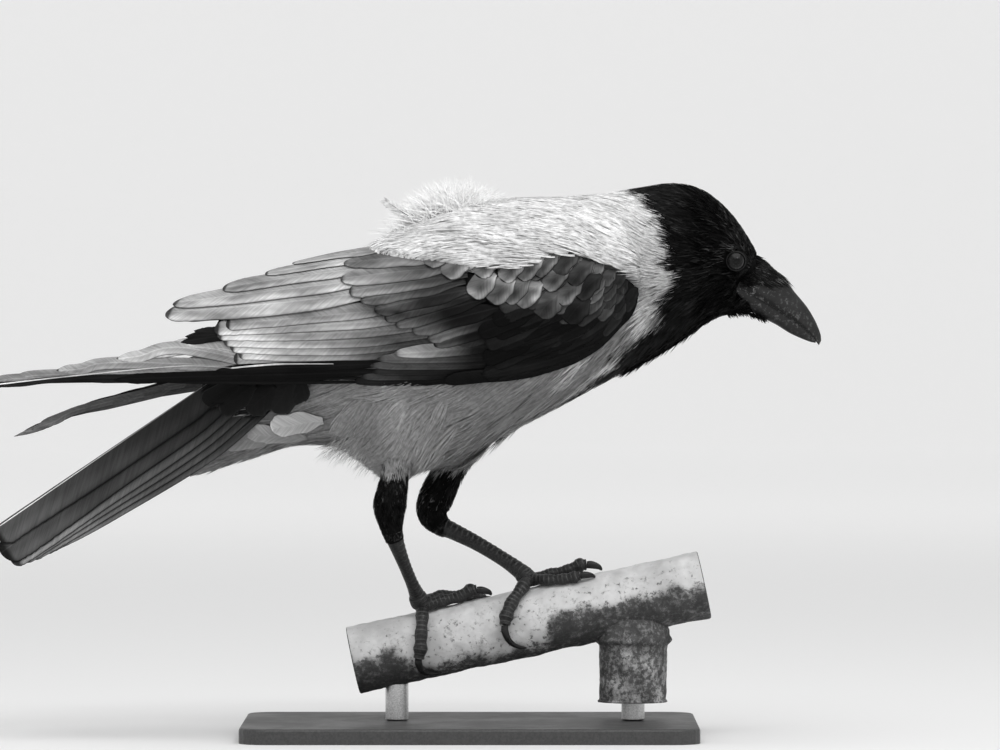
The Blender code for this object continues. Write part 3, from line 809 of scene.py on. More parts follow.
PLUMAGE = Plumage("plumage", specular=0.08)
BLACK_PLUMAGE = Plumage("plumage_black", specular=0.04, gloss=0.36)
SKIN = Plumage("skin_under_feathers", specular=0.05, gloss=0.7)
VANES = FlightFeather("flight_vanes", roughness=0.48, specular=0.065, contrast=0.26)
BILL_HORN = Horn("bill_horn_fine", roughness=0.38, specular=0.22, pale=0.24, flecks=0.46)
CLAW_HORN = Horn("claw_horn_fine", roughness=0.3, specular=0.3, dark=0.010, flecks=0.34)
LEG_SKIN = ScaledSkin("leg_scales_fine", roughness=0.4, specular=0.4, dark=0.010, rim=0.075)
EYE_GLASS = EyeGlass("eye_wet", roughness=0.2, specular=0.1)
RAIL_PAINT = OldPaint("rail_old_paint", roughness=0.62)
BOARD = StandFinish("board_charcoal", roughness=0.5, tone=0.045)
STEEL = StandFinish("rod_steel", roughness=0.34, metallic=1.0, tone=0.55, grain=1500.0)
STUDIO = Sweep("studio_sweep", roughness=0.9, specular=0.1)


# ---- markings ------------------------------------------------------------------------------------

@dataclass(frozen=True)
class Markings:
    """Where the bird is black and where it is grey: one rule for the skin and the coat."""

    hood_edge: tuple[tuple[float, float], ...] = (  # height, and x in front of which the hood is black
        (150.0, 54.0), (172.0, 58.0), (176.0, 63.0), (183.0, 74.0), (190.0, 82.0), (196.0, 85.0),
        (207.0, 86.0), (212.0, 97.0), (220.0, 99.3), (228.0, 101.0), (236.0, 107.0), (241.0, 104.5),
        (250.0, 103.5), (261.0, 99.3), (274.6, 95.0), (284.0, 87.0), (290.0, 86.0),
    )
    rump_edge: tuple[tuple[float, float], ...] = (  # x, and height above which the rump is black
        (-146.0, 176.0), (-139.0, 175.0), (-130.0, 170.5), (-117.0, 169.0), (-103.0, 170.0),
        (-91.0, 171.0), (-80.0, 172.0),
    )
    bib: tuple[tuple[float, float], ...] = ((46.0, 0.0), (52.0, 7.0), (57.0, 12.0), (66.0, 17.5),
        (77.0, 21.0), (88.0, 23.5), (95.0, 26.0))
    black: float = 0.0023
    # the grey at the top and at the bottom: the step between them is painted light on the back and painted
    # shade underneath
    mantle: float = 0.74
    belly: float = 0.285

    def tone(self, points: Array) -> Array:
        """The lightness of the plumage at each point.

        Args:
            points: Places in millimetres.

        Returns:
            The lightness at each.
        """
        x, z = points[..., 0], points[..., 2]
        # paler with height: painted light above, painted shade below
        low = ease(205.0, 262.0, z)
        grey = self.belly + (self.mantle - self.belly) * low
        grey = grey * (1 - 0.06 * ease(40.0, 85.0, x) * (1 - ease(262.0, 280.0, z)))
        blotch = ease(0.25, 0.9, ripple(points, 17.0, 5)) * ease(25.0, 60.0, x) * (1 - ease(215.0, 235.0, z))
        grey = grey * (1 + 1.3 * blotch) - 0.02 * ease(20.0, 70.0, x) * (1 - low)
        grey = grey * (1 + 0.10 * ripple(points, 26.0, 7))
        ragged = ripple(points, 9.0, 11) + 0.9 * ripple(points, 4.2, 12)
        hood = ease(-0.8, 0.8, x - read(self.hood_edge, z) - 1.8 * ragged)
        bib = read(self.bib, x) + 3.2 * ragged + 3.0 * ripple(points, 13.0, 14)
        hood = np.maximum(hood, ease(-0.8, 0.8, bib - np.abs(points[..., 1]))
            * ease(214.0, 208.0, z) * (x > 46))
        line = read(self.rump_edge, x) + 1.2 * np.sin(x * 2 * np.pi / 11.0)
        top = ease(215.0, 235.0, z)
        rump = ease(-79.0, -83.0, x + 11.0 * top) * ease(-0.8, 0.8, z - line)
        dark = np.clip(hood + rump, 0, 1)
        return np.clip(grey, 0.05, 0.85) * (1 - dark) + self.black * dark


# ---- the body's form -----------------------------------------------------------------------------

@dataclass
class BodyForm:
    """The body from tail to chin, as the solids have it, with the finer forms of the head.

    Each section row: top (x, z), bottom (x, z), half width, height of the widest level as a share of
    the section, and how square the section is above and below that level.
    """

    sections: tuple[tuple[float, ...], ...] = (
        (-139.0, 184.0, -145.5, 134.5, 5.0, 0.50, 2.0, 2.0),
        (-117.0, 205.0, -117.0, 143.0, 19.0, 0.50, 2.0, 2.0),
        (-93.0, 226.0, -90.0, 151.0, 31.0, 0.50, 2.0, 2.0),
        (-65.0, 247.0, -62.5, 149.0, 41.0, 0.52, 2.1, 2.0),
        (-37.0, 264.5, -37.5, 139.5, 48.0, 0.54, 2.1, 2.0),
        (-9.0, 277.0, -8.0, 142.0, 51.5, 0.54, 2.1, 2.1),
        (18.0, 280.0, 21.0, 157.5, 52.5, 0.52, 2.1, 2.1),
        (46.0, 281.0, 49.0, 172.0, 49.5, 0.52, 2.1, 2.1),
        (69.0, 282.5, 74.0, 185.5, 42.0, 0.52, 2.1, 2.1),
        (88.0, 285.5, 96.0, 197.0, 34.5, 0.52, 2.1, 2.1),
        (105.0, 287.6, 114.0, 208.5, 28.5, 0.54, 2.1, 2.0),
        (121.2, 283.9, 127.5, 217.0, 24.5, 0.55, 2.2, 1.9),
        (135.2, 272.3, 138.0, 219.7, 21.5, 0.56, 2.2, 1.8),
        (145.2, 258.0, 146.5, 220.5, 15.5, 0.60, 2.2, 1.6),
        (149.5, 249.0, 151.0, 219.3, 9.5, 0.55, 2.0, 1.6),
        (153.5, 229.0, 155.0, 217.0, 3.0, 0.50, 2.0, 2.0),
    )
    rows: int = 361
    columns: int = 256
    fine: int = 720  # steps round a ring before it is shared out
    reliefs: tuple[tuple[float, ...], ...] = (  # x, z, spread in x, spread in z, height
        (146.0, 243.0, 5.0, 4.0, -0.7),  # the lore in front of the eye
        (136.0, 255.0, 9.0, 3.0, 0.9),  # the brow
        (127.0, 234.0, 12.0, 8.0, 0.9),  # the cheek
        (137.6, 246.8, 6.0, 6.0, -0.7),  # the hollow that the eye lies in
    )

    gape_hollow: float = 4.5

    @property
    def last(self) -> float:
        """The last station's number."""
        return len(self.sections) - 1.0

    def surface(self) -> Surface:
        """The form as a surface: u runs from tail to chin, v from the back's middle round the right side.

        A ring's point at angle a lies at height level + (1 - level) |cos a|^(2/p) and half width times
        |sin a|^(2/p), and each ring is then shared out evenly by its length.

        Returns:
            The surface.
        """
        keys = through(self.sections, np.linspace(0, self.last, self.rows))
        tx, tz, bx, bz, half, level, above, below = (column[:, None] for column in keys.T)
        angle = np.linspace(0, 2 * np.pi, self.fine + 1)[None]
        c, s = np.cos(angle), np.sin(angle)
        power = np.where(c >= 0, above, below)
        rise = np.sign(c) * np.abs(c) ** (2 / power)
        side = np.sign(s) * np.abs(s) ** (2 / power)
        height = np.where(c >= 0, level + (1 - level) * rise, level + level * rise)
        rings = pack(bx + (tx - bx) * height, -half * side, bz + (tz - bz) * height)
        steps = np.linalg.norm(np.diff(rings, axis=1), axis=2)
        length = np.concatenate([np.zeros((self.rows, 1)), np.cumsum(steps, axis=1)], axis=1)
        even = np.linspace(0, 1, self.columns + 1)[:-1]
        numbers = np.arange(self.fine + 1)
        places = np.array([np.interp(even * line[-1], line, numbers) for line in length])
        low = np.minimum(places.astype(int), self.fine - 1)
        share = (places - low)[..., None]
        row = np.arange(self.rows)[:, None]
        points = rings[row, low] * (1 - share) + rings[row, low + 1] * share
        plain = Surface(points)
        return Surface(points + plain.table[..., 3:6] * self.relief(points)[..., None])

    def relief(self, points: Array) -> Array:
        """How far the head's finer forms stand out: a sum of bells over the side of the head.

        Args:
            points: Places in millimetres.

        Returns:
            The height at each.
        """
        flank = ease(6.0, 14.0, np.abs(points[..., 1]))
        total = np.zeros(points.shape[:-1])
        for x, z, wide, tall, height in self.reliefs:
            total += height * hump(points[..., 0], x, wide) * hump(points[..., 2], z, tall)
        gape = ease(136.0, 142.0, points[..., 0]) * ease(243.0, 235.0, points[..., 2])
        return (total - self.gape_hollow * gape * ease(216.0, 223.0, points[..., 2])) * flank


def union(things: list[bpy.types.Object]) -> tuple[Array, list[Array]]:
    """One closed surface round several closed ones, by Blender's exact Boolean.

    Args:
        things: The objects, which are removed again.

    Returns:
        The points in millimetres, and the faces as arrays of triangles and quads.
    """
    first, others = things[0], things[1:]
    for other in others:
        cut = first.modifiers.new(other.name, "BOOLEAN")
        cut.operation, cut.solver, cut.object = "UNION", "EXACT", other
    bpy.context.view_layer.update()
    mesh = bpy.data.meshes.new_from_object(first.evaluated_get(bpy.context.evaluated_depsgraph_get()))
    points = np.empty(len(mesh.vertices) * 3)
    mesh.vertices.foreach_get("co", points)
    mesh.calc_loop_triangles()
    corners = np.empty(len(mesh.loop_triangles) * 3, int)
    mesh.loop_triangles.foreach_get("vertices", corners)
    for thing in things:
        bpy.data.objects.remove(thing)
    return points.reshape(-1, 3) / MM, [corners.reshape(-1, 3)]


# ---- locks: the feathers of the body ---------------------------------------------------------------

def sheen(rng: np.random.Generator, number: int) -> Array:
    """How much of the light each of a number of black feathers gives back, against the plain black."""
    return np.exp(rng.normal(0.1, 0.8, number)).clip(0.2, 7.0)


def streaks(points: Array, heading: Array) -> Array:
    """Narrow bands of sheen: two ripples whose waves are long along the lie and short across it.

    Args:
        points: Places in millimetres.
        heading: Where the feathers there point.

    Returns:
        A share of the sheen for each.
    """
    along = (points * heading).sum(-1, keepdims=True)
    drawn = points - heading * along * 0.88
    return np.exp(1.2 * ripple(drawn, 1.9, 71) + 1.2 * ripple(drawn, 1.0, 72)).clip(0.12, 10.0)


class Zone(Enum):
    """The coat's pieces."""

    HEAD = "coat_head"
    NECK = "coat_neck"
    MANTLE = "coat_mantle"
    BREAST = "coat_breast"
    BELLY = "coat_belly"
    RUMP = "coat_rump"


@dataclass
class Lay:
    """How each feather of a coat lies: one number a feather."""

    u: Array
    v: Array
    length: Array
    width: Array
    heading: Array
    depth: Array
    lift: Array
    tone: Array
    raise_to: Array

    def only(self, keep: Array) -> "Lay":
        """The feathers for which keep is true."""
        return Lay(*(getattr(self, name)[keep] for name in self.__dataclass_fields__))


@dataclass(frozen=True)
class Cut:
    """How a zone's feathers are cut: strands in each, a strand's width and how much they differ."""

    strands: int
    breadth: float
    uneven: float


CUTS = {Zone.HEAD: Cut(4, 0.36, 1.8), Zone.NECK: Cut(8, 0.42, 0.9), Zone.MANTLE: Cut(14, 0.85, 0.25),
    Zone.BREAST: Cut(12, 0.6, 0.6), Zone.BELLY: Cut(12, 0.62, 0.6), Zone.RUMP: Cut(9, 0.85, 0.8)}
EDGES = np.array([-1.0, 1.0])  # the two edges of a strand
STRAND_STEPS = np.array([0.0, 0.26, 0.52, 0.78, 1.0])
STRAND_SHAPE = np.array([0.75, 1.0, 0.95, 0.66, 0.07])
FAN_SHAPE = np.array([0.35, 0.72, 0.95, 1.0, 0.92])
STRAND_TONE = np.array([0.88, 0.96, 1.0, 1.03, 1.04])


def lay_strands(surface: Surface, lay: Lay, strands: int, breadth: float, rng: np.random.Generator,
        raised: Callable[[Array], Array] | None = None, uneven: float = 1.0,
        shade: Callable[[Array], Array] | None = None) -> tuple[Array, ...]:
    """Feathers as fans of thin strands that follow the surface and taper to points.

    Strand k of a feather starts beside its root, runs back along the lie by its own length times s,
    and spreads sideways by the fan's shape at s. Its height over the surface climbs from the root's
    depth to the tip's lift.

    Args:
        surface: What the feathers lie on.
        lay: The feathers.
        strands: Strands in a feather.
        breadth: A strand's width.
        rng: The source of chance.
        raised: Gives extra height at points, for feathers that lie over something.
        uneven: How much the strands of a feather differ.
        shade: Gives a share of the lightness at points, for the dark lines between locks.

    Returns:
        Points, tones and baking places, each by feather, strand, step and edge.
    """
    count = len(lay.u)
    shape = (count, strands)
    k = np.linspace(-1, 1, strands)[None] + rng.uniform(-0.5, 0.5, shape) / strands
    reach = lay.length[:, None] * (1 - 0.34 * k**2) * rng.uniform(0.78, 1.10, shape)
    sway = rng.normal(0, 0.05 * uneven, shape) * lay.length[:, None]
    roll = rng.normal(0, 0.35 * uneven, shape)
    s = STRAND_STEPS
    half = breadth / 2 * rng.uniform(0.7, 1.25, shape)[..., None] * STRAND_SHAPE
    middle = (k * lay.width[:, None] / 2)[..., None] * FAN_SHAPE + sway[..., None] * s**2
    across = middle[..., None] + half[..., None] * EDGES
    run = np.broadcast_to((reach[..., None] * s)[..., None], across.shape)
    root = surface.at(lay.u, lay.v)
    heading = unit(lay.heading - root.normal * (lay.heading * root.normal).sum(-1, keepdims=True))
    over = np.cross(root.normal, heading)
    move = run[..., None] * heading[:, None, None, None] + across[..., None] * over[:, None, None, None]
    root_u, root_v = (place[:, None, None, None] for place in (lay.u, lay.v))
    u, v = surface.moved(root_u, root_v, root.widened(3), move)
    spot = surface.at(u, v)
    climb = -lay.depth[:, None, None] * (1 - s) ** 1.3 + lay.lift[:, None, None] * s**1.6
    climb = climb * rng.uniform(0.75, 1.25, shape)[..., None]
    height = climb[..., None] + roll[..., None, None] * half[..., None] * EDGES
    height = height + lay.raise_to[:, None, None, None] * ease(0.0, 0.4, s)[None, None, :, None]
    if raised is not None:
        height = height + raised(spot.point)
    points = spot.point + spot.normal * height[..., None]
    vary = 1 + 0.18 * uneven * rng.uniform(-1, 1, shape)
    tone = lay.tone[:, None, None] * vary[..., None] * STRAND_TONE
    dark = rng.random(shape) < 0.04
    tone = np.where(dark[..., None], tone * 0.6, tone)
    if shade is not None:
        tone = tone * shade(spot.point.mean(axis=-2))
    share = (np.arange(strands)[None, :, None, None] + 0.5 + 0.5 * EDGES) / strands - 0.5
    patch = pack(root_v % 1.0 + PATCH * share, root_u + PATCH * (s[None, None, :, None] - 0.5))
    shape = points.shape[:-1]
    return points, np.broadcast_to(tone[..., None], shape), np.broadcast_to(patch, (*shape, 2))


def add_strands(piece: Piece, made: tuple[Array, ...]) -> None:
    """Adds strands made by lay_strands or free_strands to a piece.

    Args:
        piece: What they are added to.
        made: Their points, tones and baking places.
    """
    points, tone, patch = made
    steps = points.shape[-3]
    number = points.size // (3 * 2 * steps)
    quad = shell(steps, 2, closed=False)[0]
    faces = (np.arange(number)[:, None, None] * 2 * steps + quad[None]).reshape(-1, 4)
    piece.add(points.reshape(-1, 3), [faces], patch.reshape(-1, 2), turn=True, plume=tone.reshape(-1))


def free_strands(roots: Array, headings: Array, lengths: Array, droop: Array, breadth: float, tone: Array,
        patch: Array, rng: np.random.Generator) -> tuple[Array, ...]:
    """Loose filaments that leave the coat: a straight run bent by a share of s squared.

    Args:
        roots: Where each starts.
        headings: Where each points.
        lengths: How long each is.
        droop: The bend of each at its tip, as vectors in millimetres.
        breadth: Their width.
        tone: Their lightness.
        patch: Their places on the baking map.
        rng: The source of chance.

    Returns:
        Points, tones and baking places, each by filament, step and edge.
    """
    s = STRAND_STEPS[None, :, None]
    headings = unit(headings)
    middle = roots[:, None] + headings[:, None] * lengths[:, None, None] * s + droop[:, None] * s**2
    flat = unit(np.cross(headings, rng.normal(size=headings.shape)))
    half = breadth / 2 * STRAND_SHAPE[None, :, None, None]
    points = middle[:, :, None] + flat[:, None, None] * half * EDGES[:, None]
    tones = np.broadcast_to(tone[:, None, None], points.shape[:-1])
    return (points, tones,
        pack(PATCH * EDGES / 2, PATCH * (STRAND_STEPS[:, None] - 0.5)) + patch[:, None, None])


# ---- the wings' roof and vanes ---------------------------------------------------------------------

@dataclass(frozen=True)
class Feather:
    """One flight feather or covert: its shaft's route as seen from the side, and its form.

    The route is places (x, height) from root to tip, or (share, across) on the tail.
    """

    route: tuple[tuple[float, float], ...]
    upper: float
    lower: float
    height: float
    tone: float
    root_tone: float | None = None
    pales_from: float = 0.15
    inner_tone: float = 0.8
    tip_height: float = 0.6
    tilt: float = 0.26
    dome: float = 0.16
    blunt: float = 1.2
    taper: float = 2.2
    rachis: float = 0.3
    # the next two: how far the rim is darkened, a painted shadow along the lower edge and round the tip
    # (below 0 it is lightened as a painted highlight), and how much a painted highlight brightens a band just
    # inside the lower edge
    edge: float = 0.75
    edge_highlight: float = 0.3
    rough: float = 0.03
    point: float = 0.5
    core: float = 0.0
    rim_from: float = 0.965


CELL_EDGE = 0.06  # the free edge of a cell of the baking map
SCALE_COLUMNS = np.array([-1.0, -0.82, -0.4, 0.0, 0.4, 0.82, 1.0])
VANE_COLUMNS = np.array([
    -1.0, -0.85, -0.6, -0.35, -0.14, -0.045, 0.0, 0.045, 0.14, 0.36, 0.58, 0.76, 0.9, 1.0])


def vane_shell(piece: Piece, surface: Surface, places: Array, feather: Feather, number: int, cells: int,
        rng: np.random.Generator, rows: int = 26, tone_at: Callable[[Array], Array] | None = None,
        columns: Array = VANE_COLUMNS) -> None:
    """Adds one feather: a thin closed vane that follows the surface along its shaft.

    The half width at share s of the shaft swells from the quill, stays even and then closes like a
    quarter circle at the tip. The section is slightly domed, tilted so that the lower edge stands over
    the next feather, and has the shaft as a ridge.

    Args:
        piece: What the feather is added to.
        surface: What it lies on.
        places: Its route in the surface's u and v.
        feather: Its form.
        number: Which cell of the baking map it has.
        cells: Cells along each side of the baking map.
        rng: The source of chance.
        rows: Rows along the shaft.
        tone_at: Lightness at points, which the feather's own multiplies.
        columns: Places across the vane, -1 at its upper edge and 1 at its lower.
    """
    s = 1 - (1 - np.linspace(0, 1, rows)) ** 1.7
    u, v = through(places, s * (len(places) - 1)).T
    centre = surface.at(u, v)
    heading = unit(np.gradient(centre.point, axis=0))
    lower = unit(np.cross(centre.normal, heading))
    length = distance_along(centre.point)
    closing = min(0.5, feather.blunt * max(feather.upper, feather.lower) / length[-1])
    gone = (np.clip(s - (1 - closing), 0, None) / closing) ** feather.taper
    tip = np.sqrt(np.clip(1 - gone, 0.0004, 1) ** (2 * feather.point))
    swell = 0.30 + 0.70 * ease(0.0, 0.35, s)
    spread = np.where(columns[None] > 0, feather.lower, feather.upper) * (swell * tip)[:, None]
    wear = 1 + feather.rough * rng.normal(size=(rows, 1)) * ease(0.55, 1.0, s)[:, None]
    wear = wear + feather.rough * np.sin(s[:, None] * rng.uniform(9, 17) + rng.uniform(0, 6))
    offset = columns[None] * spread * wear
    move = lower[:, None] * offset[..., None]
    spot = surface.at(*surface.moved(u[:, None], v[:, None], centre.widened(1), move))
    dome = feather.dome * (1 - columns**2)
    ridge = 0.12 * hump(offset, 0.0, 0.45) * (1 - 0.6 * s[:, None]) * feather.rachis
    curl = feather.height + (feather.tip_height - 0.6) * s[:, None] ** 3
    height = curl + feather.tilt * columns * tip[:, None] + dome * tip[:, None] + ridge
    top = spot.point + spot.normal * height[..., None]
    thick = 0.30 * (1 - 0.75 * columns**2)
    bottom = top - spot.normal * thick[:, None] * np.ones((rows, 1, 1))
    ring = np.concatenate([top, bottom[:, ::-1]], axis=1)
    place = np.concatenate([columns, columns[::-1]])
    start = feather.tone if feather.root_tone is None else feather.root_tone
    tone = start + (feather.tone - start) * ease(feather.pales_from, 0.95, s)[:, None] + 0 * columns
    if tone_at is not None:
        tone = tone * tone_at(top)
    # painted shadow on the rim, along the lower edge and round the tip, and a painted highlight in a band
    # just inside the lower edge
    end = ease(feather.rim_from, 0.5 + 0.5 * feather.rim_from, s)[:, None]
    rim = np.maximum(ease(0.86, 1.0, columns)[None], end)
    pale = ease(0.35, 0.72, columns)[None] * (1 - rim)
    middle = hump(columns, 0.1, 0.42)[None] * hump(s, 0.62, 0.24)[:, None]
    tone = tone * (1 - feather.edge * rim) * (1 + feather.edge_highlight * pale) * (1 - feather.core * middle)
    tone = np.concatenate([tone, tone[:, ::-1] * feather.inner_tone], axis=1)
    column, row = number % cells + CELL_EDGE, number // cells + CELL_EDGE
    inside = 1 - 2 * CELL_EDGE
    patch = pack((column + inside * (np.arange(len(place)) + 0.5) / len(place)) / cells,
        (row + inside * s[:, None]) / cells)
    piece.add(ring, shell(rows, len(place)), patch, turn=True, plume=tone,
        run=np.broadcast_to(length[:, None], ring.shape[:2]),
        side=np.concatenate([offset, offset[:, ::-1]], axis=1), feather=float(number),
        rachis=feather.rachis)


@dataclass
class WingRoof:
    """The rounded roof that a folded wing lies on. Rows: x, middle height, half height, half width."""

    sections: tuple[tuple[float, ...], ...] = (
        (-262.0, 182.0, 26.0, 17.5), (-244.0, 182.0, 27.0, 20.0), (-192.0, 186.0, 30.0, 27.5),
        (-156.0, 194.5, 32.5, 31.0), (-135.0, 197.3, 38.0, 35.0), (-114.4, 199.7, 42.3, 40.5),
        (-88.4, 203.3, 44.6, 46.0), (-62.4, 208.5, 46.8, 51.5), (-36.4, 213.0, 51.0, 56.0),
        (-15.6, 215.3, 57.0, 58.0), (15.6, 217.4, 62.0, 58.5), (46.8, 220.5, 61.5, 55.0),
        (67.6, 221.5, 60.0, 49.5), (90.0, 226.0, 57.0, 41.0),
    )
    drop: tuple[tuple[float, float], ...] = ((-400.0, 0.0), (400.0, 0.0))  # x, and how far it hangs
    widest: float = 2.7  # radians round from the crest
    rows: int = 353
    columns: int = 181

    def section(self, x: Array) -> Array:
        """Middle height, half height and half width at each x, one row each.

        Args:
            x: Places along the wing.

        Returns:
            The three, one row for each x.
        """
        rows = np.array(self.sections)
        keys = through(rows[:, 1:], np.interp(x, rows[:, 0], np.arange(len(rows))))
        keys[:, 0] -= read(self.drop, x)
        return keys

    def surface(self) -> Surface:
        """The roof on the bird's right: v runs down from the crest by the ellipse's own angle.

        Returns:
            The surface.
        """
        x = np.linspace(self.sections[0][0], self.sections[-1][0], self.rows)
        middle, high, wide = (column[:, None] for column in self.section(x).T)
        angle = np.linspace(0.0, self.widest, self.columns)[None]
        points = pack(x[:, None], -wide * np.sin(angle), middle + high * np.cos(angle))
        return Surface(points, closed=False)

    def place(self, route: Array) -> Array:
        """The surface's u and v for places given as x and height.

        Args:
            route: Rows of x and height.

        Returns:
            Rows of u and v.
        """
        x, z = np.asarray(route, float).T
        middle, high, _ = self.section(x).T
        first, last = self.sections[0][0], self.sections[-1][0]
        angle = np.arccos(np.clip((z - middle) / high, -1, 1))
        return pack((x - first) / (last - first), angle / self.widest)


# ---- the bird's parts ------------------------------------------------------------------------------

@dataclass
class Body:
    """Skin and coat of the trunk, neck, head and thighs."""

    form: BodyForm = field(default_factory=BodyForm)
    markings: Markings = field(default_factory=Markings)
    roof: WingRoof = field(default_factory=WingRoof)
    seed: int = 41
    coat_depth: tuple[tuple[float, float], ...] = (  # station, and how deep the skin lies
        (0.0, 2.0), (2.0, 3.6), (4.0, 4.6), (8.0, 4.4), (9.5, 3.4), (10.5, 2.6), (12.0, 1.4), (13.0, 1.1),
        (14.0, 0.7), (15.0, 0.4),
    )
    lengths: tuple[tuple[float, float], ...] = (  # station, and a feather's length
        (0.0, 18.0), (3.0, 26.0), (6.0, 25.0), (8.0, 20.0), (9.0, 15.0), (10.0, 12.0), (11.0, 9.5),
        (12.0, 7.0), (13.0, 5.0), (14.0, 3.2), (15.0, 2.0),
    )
    spacing_along: tuple[tuple[float, float], ...] = (
        (0.0, 4.6), (8.0, 4.2), (9.0, 3.2), (10.0, 2.5), (11.0, 1.9), (12.0, 1.5), (13.0, 1.2), (15.0, 1.0),
    )
    spacing_across: tuple[tuple[float, float], ...] = (
        (0.0, 4.2), (8.0, 3.8), (9.0, 3.0), (10.0, 2.3), (11.0, 1.7), (12.0, 1.35), (13.0, 1.1), (15.0, 0.9),
    )
    wing_edge: tuple[tuple[float, float], ...] = (  # x, and the height where the mantle ends on the wing
        (-157.0, 222.0), (-135.0, 234.0), (-114.0, 241.0), (-88.0, 247.0), (-62.0, 254.6), (-52.0, 255.6),
        (-21.3, 251.4), (-5.5, 249.8), (6.2, 247.4), (16.7, 244.2), (28.8, 243.2), (43.3, 247.4),
        (55.5, 250.4), (60.0, 250.0), (65.4, 247.0), (79.9, 245.6), (84.0, 242.0), (88.0, 236.0),
    )
    wing_under: tuple[tuple[float, float], ...] = (  # x, and the height of the wing's lower edge
        (-157.0, 184.5), (-100.0, 181.8), (-68.0, 181.6), (-34.0, 180.5), (-15.0, 182.0), (-1.0, 183.8),
        (7.8, 184.6), (18.9, 185.2), (32.2, 187.2), (43.3, 190.5), (54.4, 194.4), (65.5, 201.0),
        (71.0, 206.0), (76.5, 212.0), (83.2, 218.8), (86.0, 227.0),
    )
    lie: tuple[tuple[float, float, float], ...] = (  # x, height, and degrees by which tips point down
        (120.0, 280.0, -4.0), (112.0, 262.0, -22.0), (92.0, 264.0, -20.0), (86.0, 250.0, -20.0),
        (100.0, 242.0, -10.0), (124.0, 244.0, -8.0), (90.0, 232.0, 22.0), (122.0, 228.0, 14.0),
        (140.0, 232.0, 10.0), (142.0, 254.0, -30.0), (104.0, 218.0, 40.0), (84.0, 214.0, 44.0),
        (70.0, 196.0, 36.0), (60.0, 266.0, -10.0), (34.0, 262.0, 2.0), (2.0, 262.0, 8.0),
        (-28.0, 262.0, 18.0), (-50.0, 252.0, 30.0), (20.0, 172.0, 26.0), (-20.0, 160.0, 26.0),
        (-50.0, 158.0, 20.0), (-80.0, 162.0, 14.0), (-110.0, 160.0, 14.0), (-110.0, 200.0, 34.0),
        (-140.0, 160.0, 18.0), (-20.0, 200.0, 22.0),
    )
    lie_spread: float = 11.0
    zone_ends: tuple[float, ...] = (2.6, 6.0, 8.6, 10.6)  # the last station of rump, belly, trunk and neck
    smooth_from: float = 10.5  # the station from which the feathers lie flat
    skin_rows: int = 190
    skin_columns: int = 112
    lid_reach: float = 5.4
    lid_profile: tuple[tuple[float, float], ...] = (  # radius, and height over the eye's middle
        (6.1, 1.0), (5.75, 2.2), (5.35, 3.3), (5.05, 4.0), (4.8, 4.38), (4.6, 4.5), (4.42, 4.42), (4.36, 4.1),
        (4.9, 3.0),
    )

    def __post_init__(self) -> None:
        """Builds the surface and reads the right eye's middle from the imported solids."""
        self.surface = self.form.surface()
        self.wing_surface = self.roof.surface()
        self.eye = middle_of("eye_right")

    def depth_at(self, station: Array) -> Array:
        """How deep the skin lies under the coat's outside."""
        return read(self.coat_depth, station)

    # -- skin --

    def build_skin(self, legs: list["Leg"]) -> None:
        """One closed skin over trunk, neck, head and thighs, with the eyes' lids.

        The body's part is the form drawn in by the coat's depth. The thighs are tubes and the lids
        turned rings, and all of them are joined into one surface.

        Args:
            legs: The two legs.
        """
        stations = np.linspace(0.02, self.form.last - 0.02, self.skin_rows)
        round_it = np.arange(self.skin_columns) / self.skin_columns
        u, v = np.meshgrid(stations / self.form.last, round_it, indexing="ij")
        spot = self.surface.at(u, v)
        depth = self.depth_at(stations)[:, None, None]
        parts = [self.solid("skin_body", spot.point - spot.normal * depth)]
        parts += [self.solid(f"skin_thigh_{leg.name}", leg.thigh_rings()) for leg in legs]
        parts += [self.solid(f"skin_lid_{side}", self.lid_rings(side)) for side in (-1, 1)]
        points, faces = union(parts)
        piece = Piece()
        away = np.hypot(points[:, 0] - self.eye[0], points[:, 2] - self.eye[2])
        rings = 0.003 + 0.030 * hump(away, 5.0, 0.16) + 0.008 * hump(away, 4.42, 0.12)
        lids = (away < self.lid_reach) & (np.abs(points[:, 1]) > 13)
        # the skin's grey follows the coat's, with its painted light and shade
        tone = np.where(lids, rings, self.markings.tone(points) * 0.75)
        piece.add(points, faces, plume=tone)
        piece.finish("skin", SKIN.material(), "grey_plumage", "trunk", "neck", "head", "thigh_right",
            "thigh_left", sharp=55)

    def solid(self, name: str, rings: Array) -> bpy.types.Object:
        """A closed body for the union.

        Args:
            name: Its name.
            rings: Its rings of points, in millimetres.

        Returns:
            The object.
        """
        faces = [face for block in shell(*rings.shape[:2]) for face in block.tolist()]
        mesh = bpy.data.meshes.new(name)
        mesh.from_pydata((rings.reshape(-1, 3) * MM).tolist(), [], faces)
        return add_object(name, mesh)

    def lid_rings(self, side: int) -> Array:
        """The lids: a profile of radius and height turned about the eye's axis, with small folds.

        Args:
            side: -1 for the right eye, 1 for the left.

        Returns:
            The rings of points.
        """
        radius, height = through(self.lid_profile, np.linspace(0, len(self.lid_profile) - 1, 30)).T
        angle = turns(72)
        folds = 1 + 0.018 * np.sin(angle * 17) * ease(4.0, 5.0, radius)[:, None]
        almond = 1 + 0.04 * np.cos(2 * angle)[None] * ease(5.6, 4.0, radius)[:, None]
        r = radius[:, None] * folds * almond
        rings = pack(self.eye[0] + r * np.cos(angle * -side), side * (abs(self.eye[1]) + height[:, None]),
            self.eye[2] + r * np.sin(angle * -side))
        return rings[:, ::-1] if side < 0 else rings

    # -- coat --

